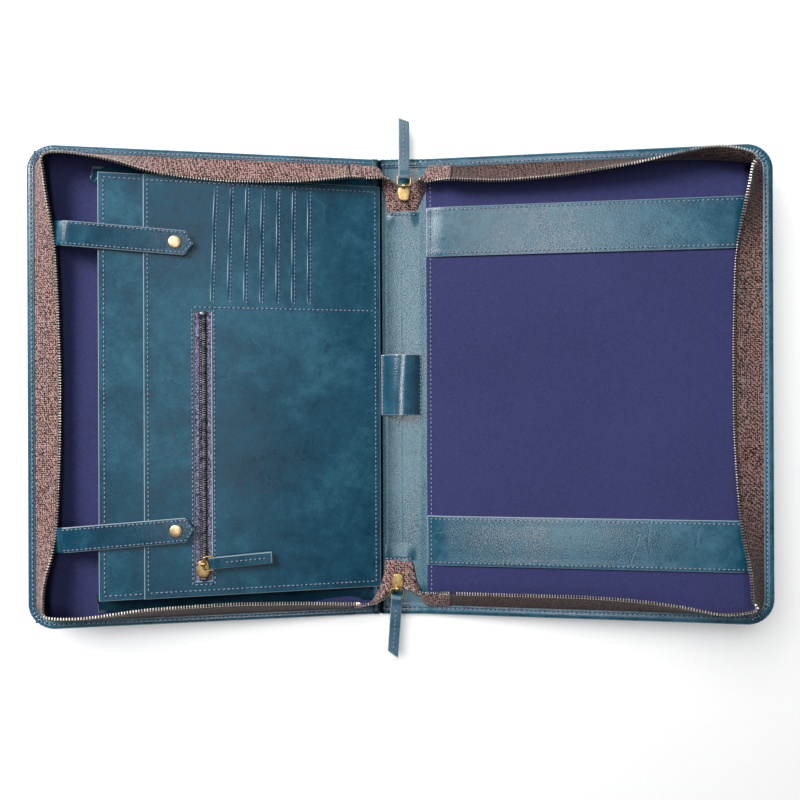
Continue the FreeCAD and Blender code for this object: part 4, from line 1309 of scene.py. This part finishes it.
# Soft lights: where each stands and points, its two sides and its power, in metres and watts.
LIGHTS = {
    "overhead_strip": ((0.015, 0.16, 1.3), (0.015, 0.16, 0), (0.14, 1.2), 5),
    "upper_left_key": ((-1.1, 0.95, 1.3), (0, 0, 0), (0.9, 0.9), 47),
    "paper_light": ((-0.5, 0.55, 1.2), (0, 0, 0), (1.4, 1.4), 34),
}
ROOM_LIGHT = 0.11
LENS = 33.03
EYE, TILT = (-0.0065, -0.0102, 0.56), (0, -0.0095, -0.004)


def area_light(name):
    """One of the rectangular soft lights."""
    place, target, size, power = LIGHTS[name]
    light = bpy.data.lights.new(name, "AREA")
    light.shape = "RECTANGLE"
    light.size, light.size_y = size
    light.energy = power
    lamp = link(name, light)
    lamp.location = place
    lamp.rotation_euler = (Vector(target) - Vector(place)).to_track_quat("-Z", "Y").to_euler()
    return lamp


def light_only(lamp, floor, state):
    """Let a lamp light only the floor (INCLUDE) or everything but the floor (EXCLUDE)."""
    group = bpy.data.collections.new(f"{lamp.name}_receivers")
    group.objects.link(floor)
    group.collection_objects[0].light_linking.link_state = state
    lamp.light_linking.receiver_collection = group


def make_studio():
    """A white floor, soft light from above and the upper left, and a faint room light."""
    bpy.ops.mesh.primitive_plane_add(size=8)
    floor = bpy.context.object
    floor.name = "studio_floor"
    make = Shader("studio_paper")
    shade = make.ramp(make.noise(300, 2), [(0.0, (0.86, 0.86, 0.86)), (1.0, (0.9, 0.9, 0.9))])
    floor.data.materials.append(make.finish(shade, 0.95, {"Specular IOR Level": 0.0}))
    world = bpy.data.worlds.new("studio_world")
    world.use_nodes = True
    room = world.node_tree.nodes["Background"].inputs
    room["Color"].default_value = (0.93, 0.96, 1.0, 1)
    room["Strength"].default_value = ROOM_LIGHT
    bpy.context.scene.world = world
    lamps = {name: area_light(name) for name in LIGHTS}
    light_only(lamps["upper_left_key"], floor, "EXCLUDE")
    light_only(lamps["paper_light"], floor, "INCLUDE")
    bpy.context.scene.view_settings.view_transform = "Standard"


def make_camera():
    """The camera looks straight down at the open case."""
    camera = bpy.data.cameras.new("camera")
    camera.sensor_width = 36
    camera.lens = LENS
    camera.clip_start = 0.01
    eye = link("camera", camera)
    eye.location = EYE
    eye.rotation_euler = TILT
    bpy.context.scene.camera = eye


TAPES = {}
for SIDE in SIGN:
    make_cover_leather(SIDE)
    make_lining(SIDE)
    TAPES[SIDE] = make_zip_side(SIDE)
    make_spine_half(SIDE)
    make_outer_fold(SIDE)
make_spine()
make_pen_loop()
make_zip_ends(TAPES)
make_file_pocket()
make_organizer()
for NAME in ("upper", "lower"):
    make_strap(NAME)
    make_band(NAME)
for NAME in ("top", "bottom", "inner"):
    make_slider(NAME)
make_lining_seam()
make_studio()
make_camera()
for NODE in frame["nodes"].values():
    if not NODE.hide_render:
        NODE.data.materials.clear()
        NODE.data.materials.append(MATERIALS["board"])
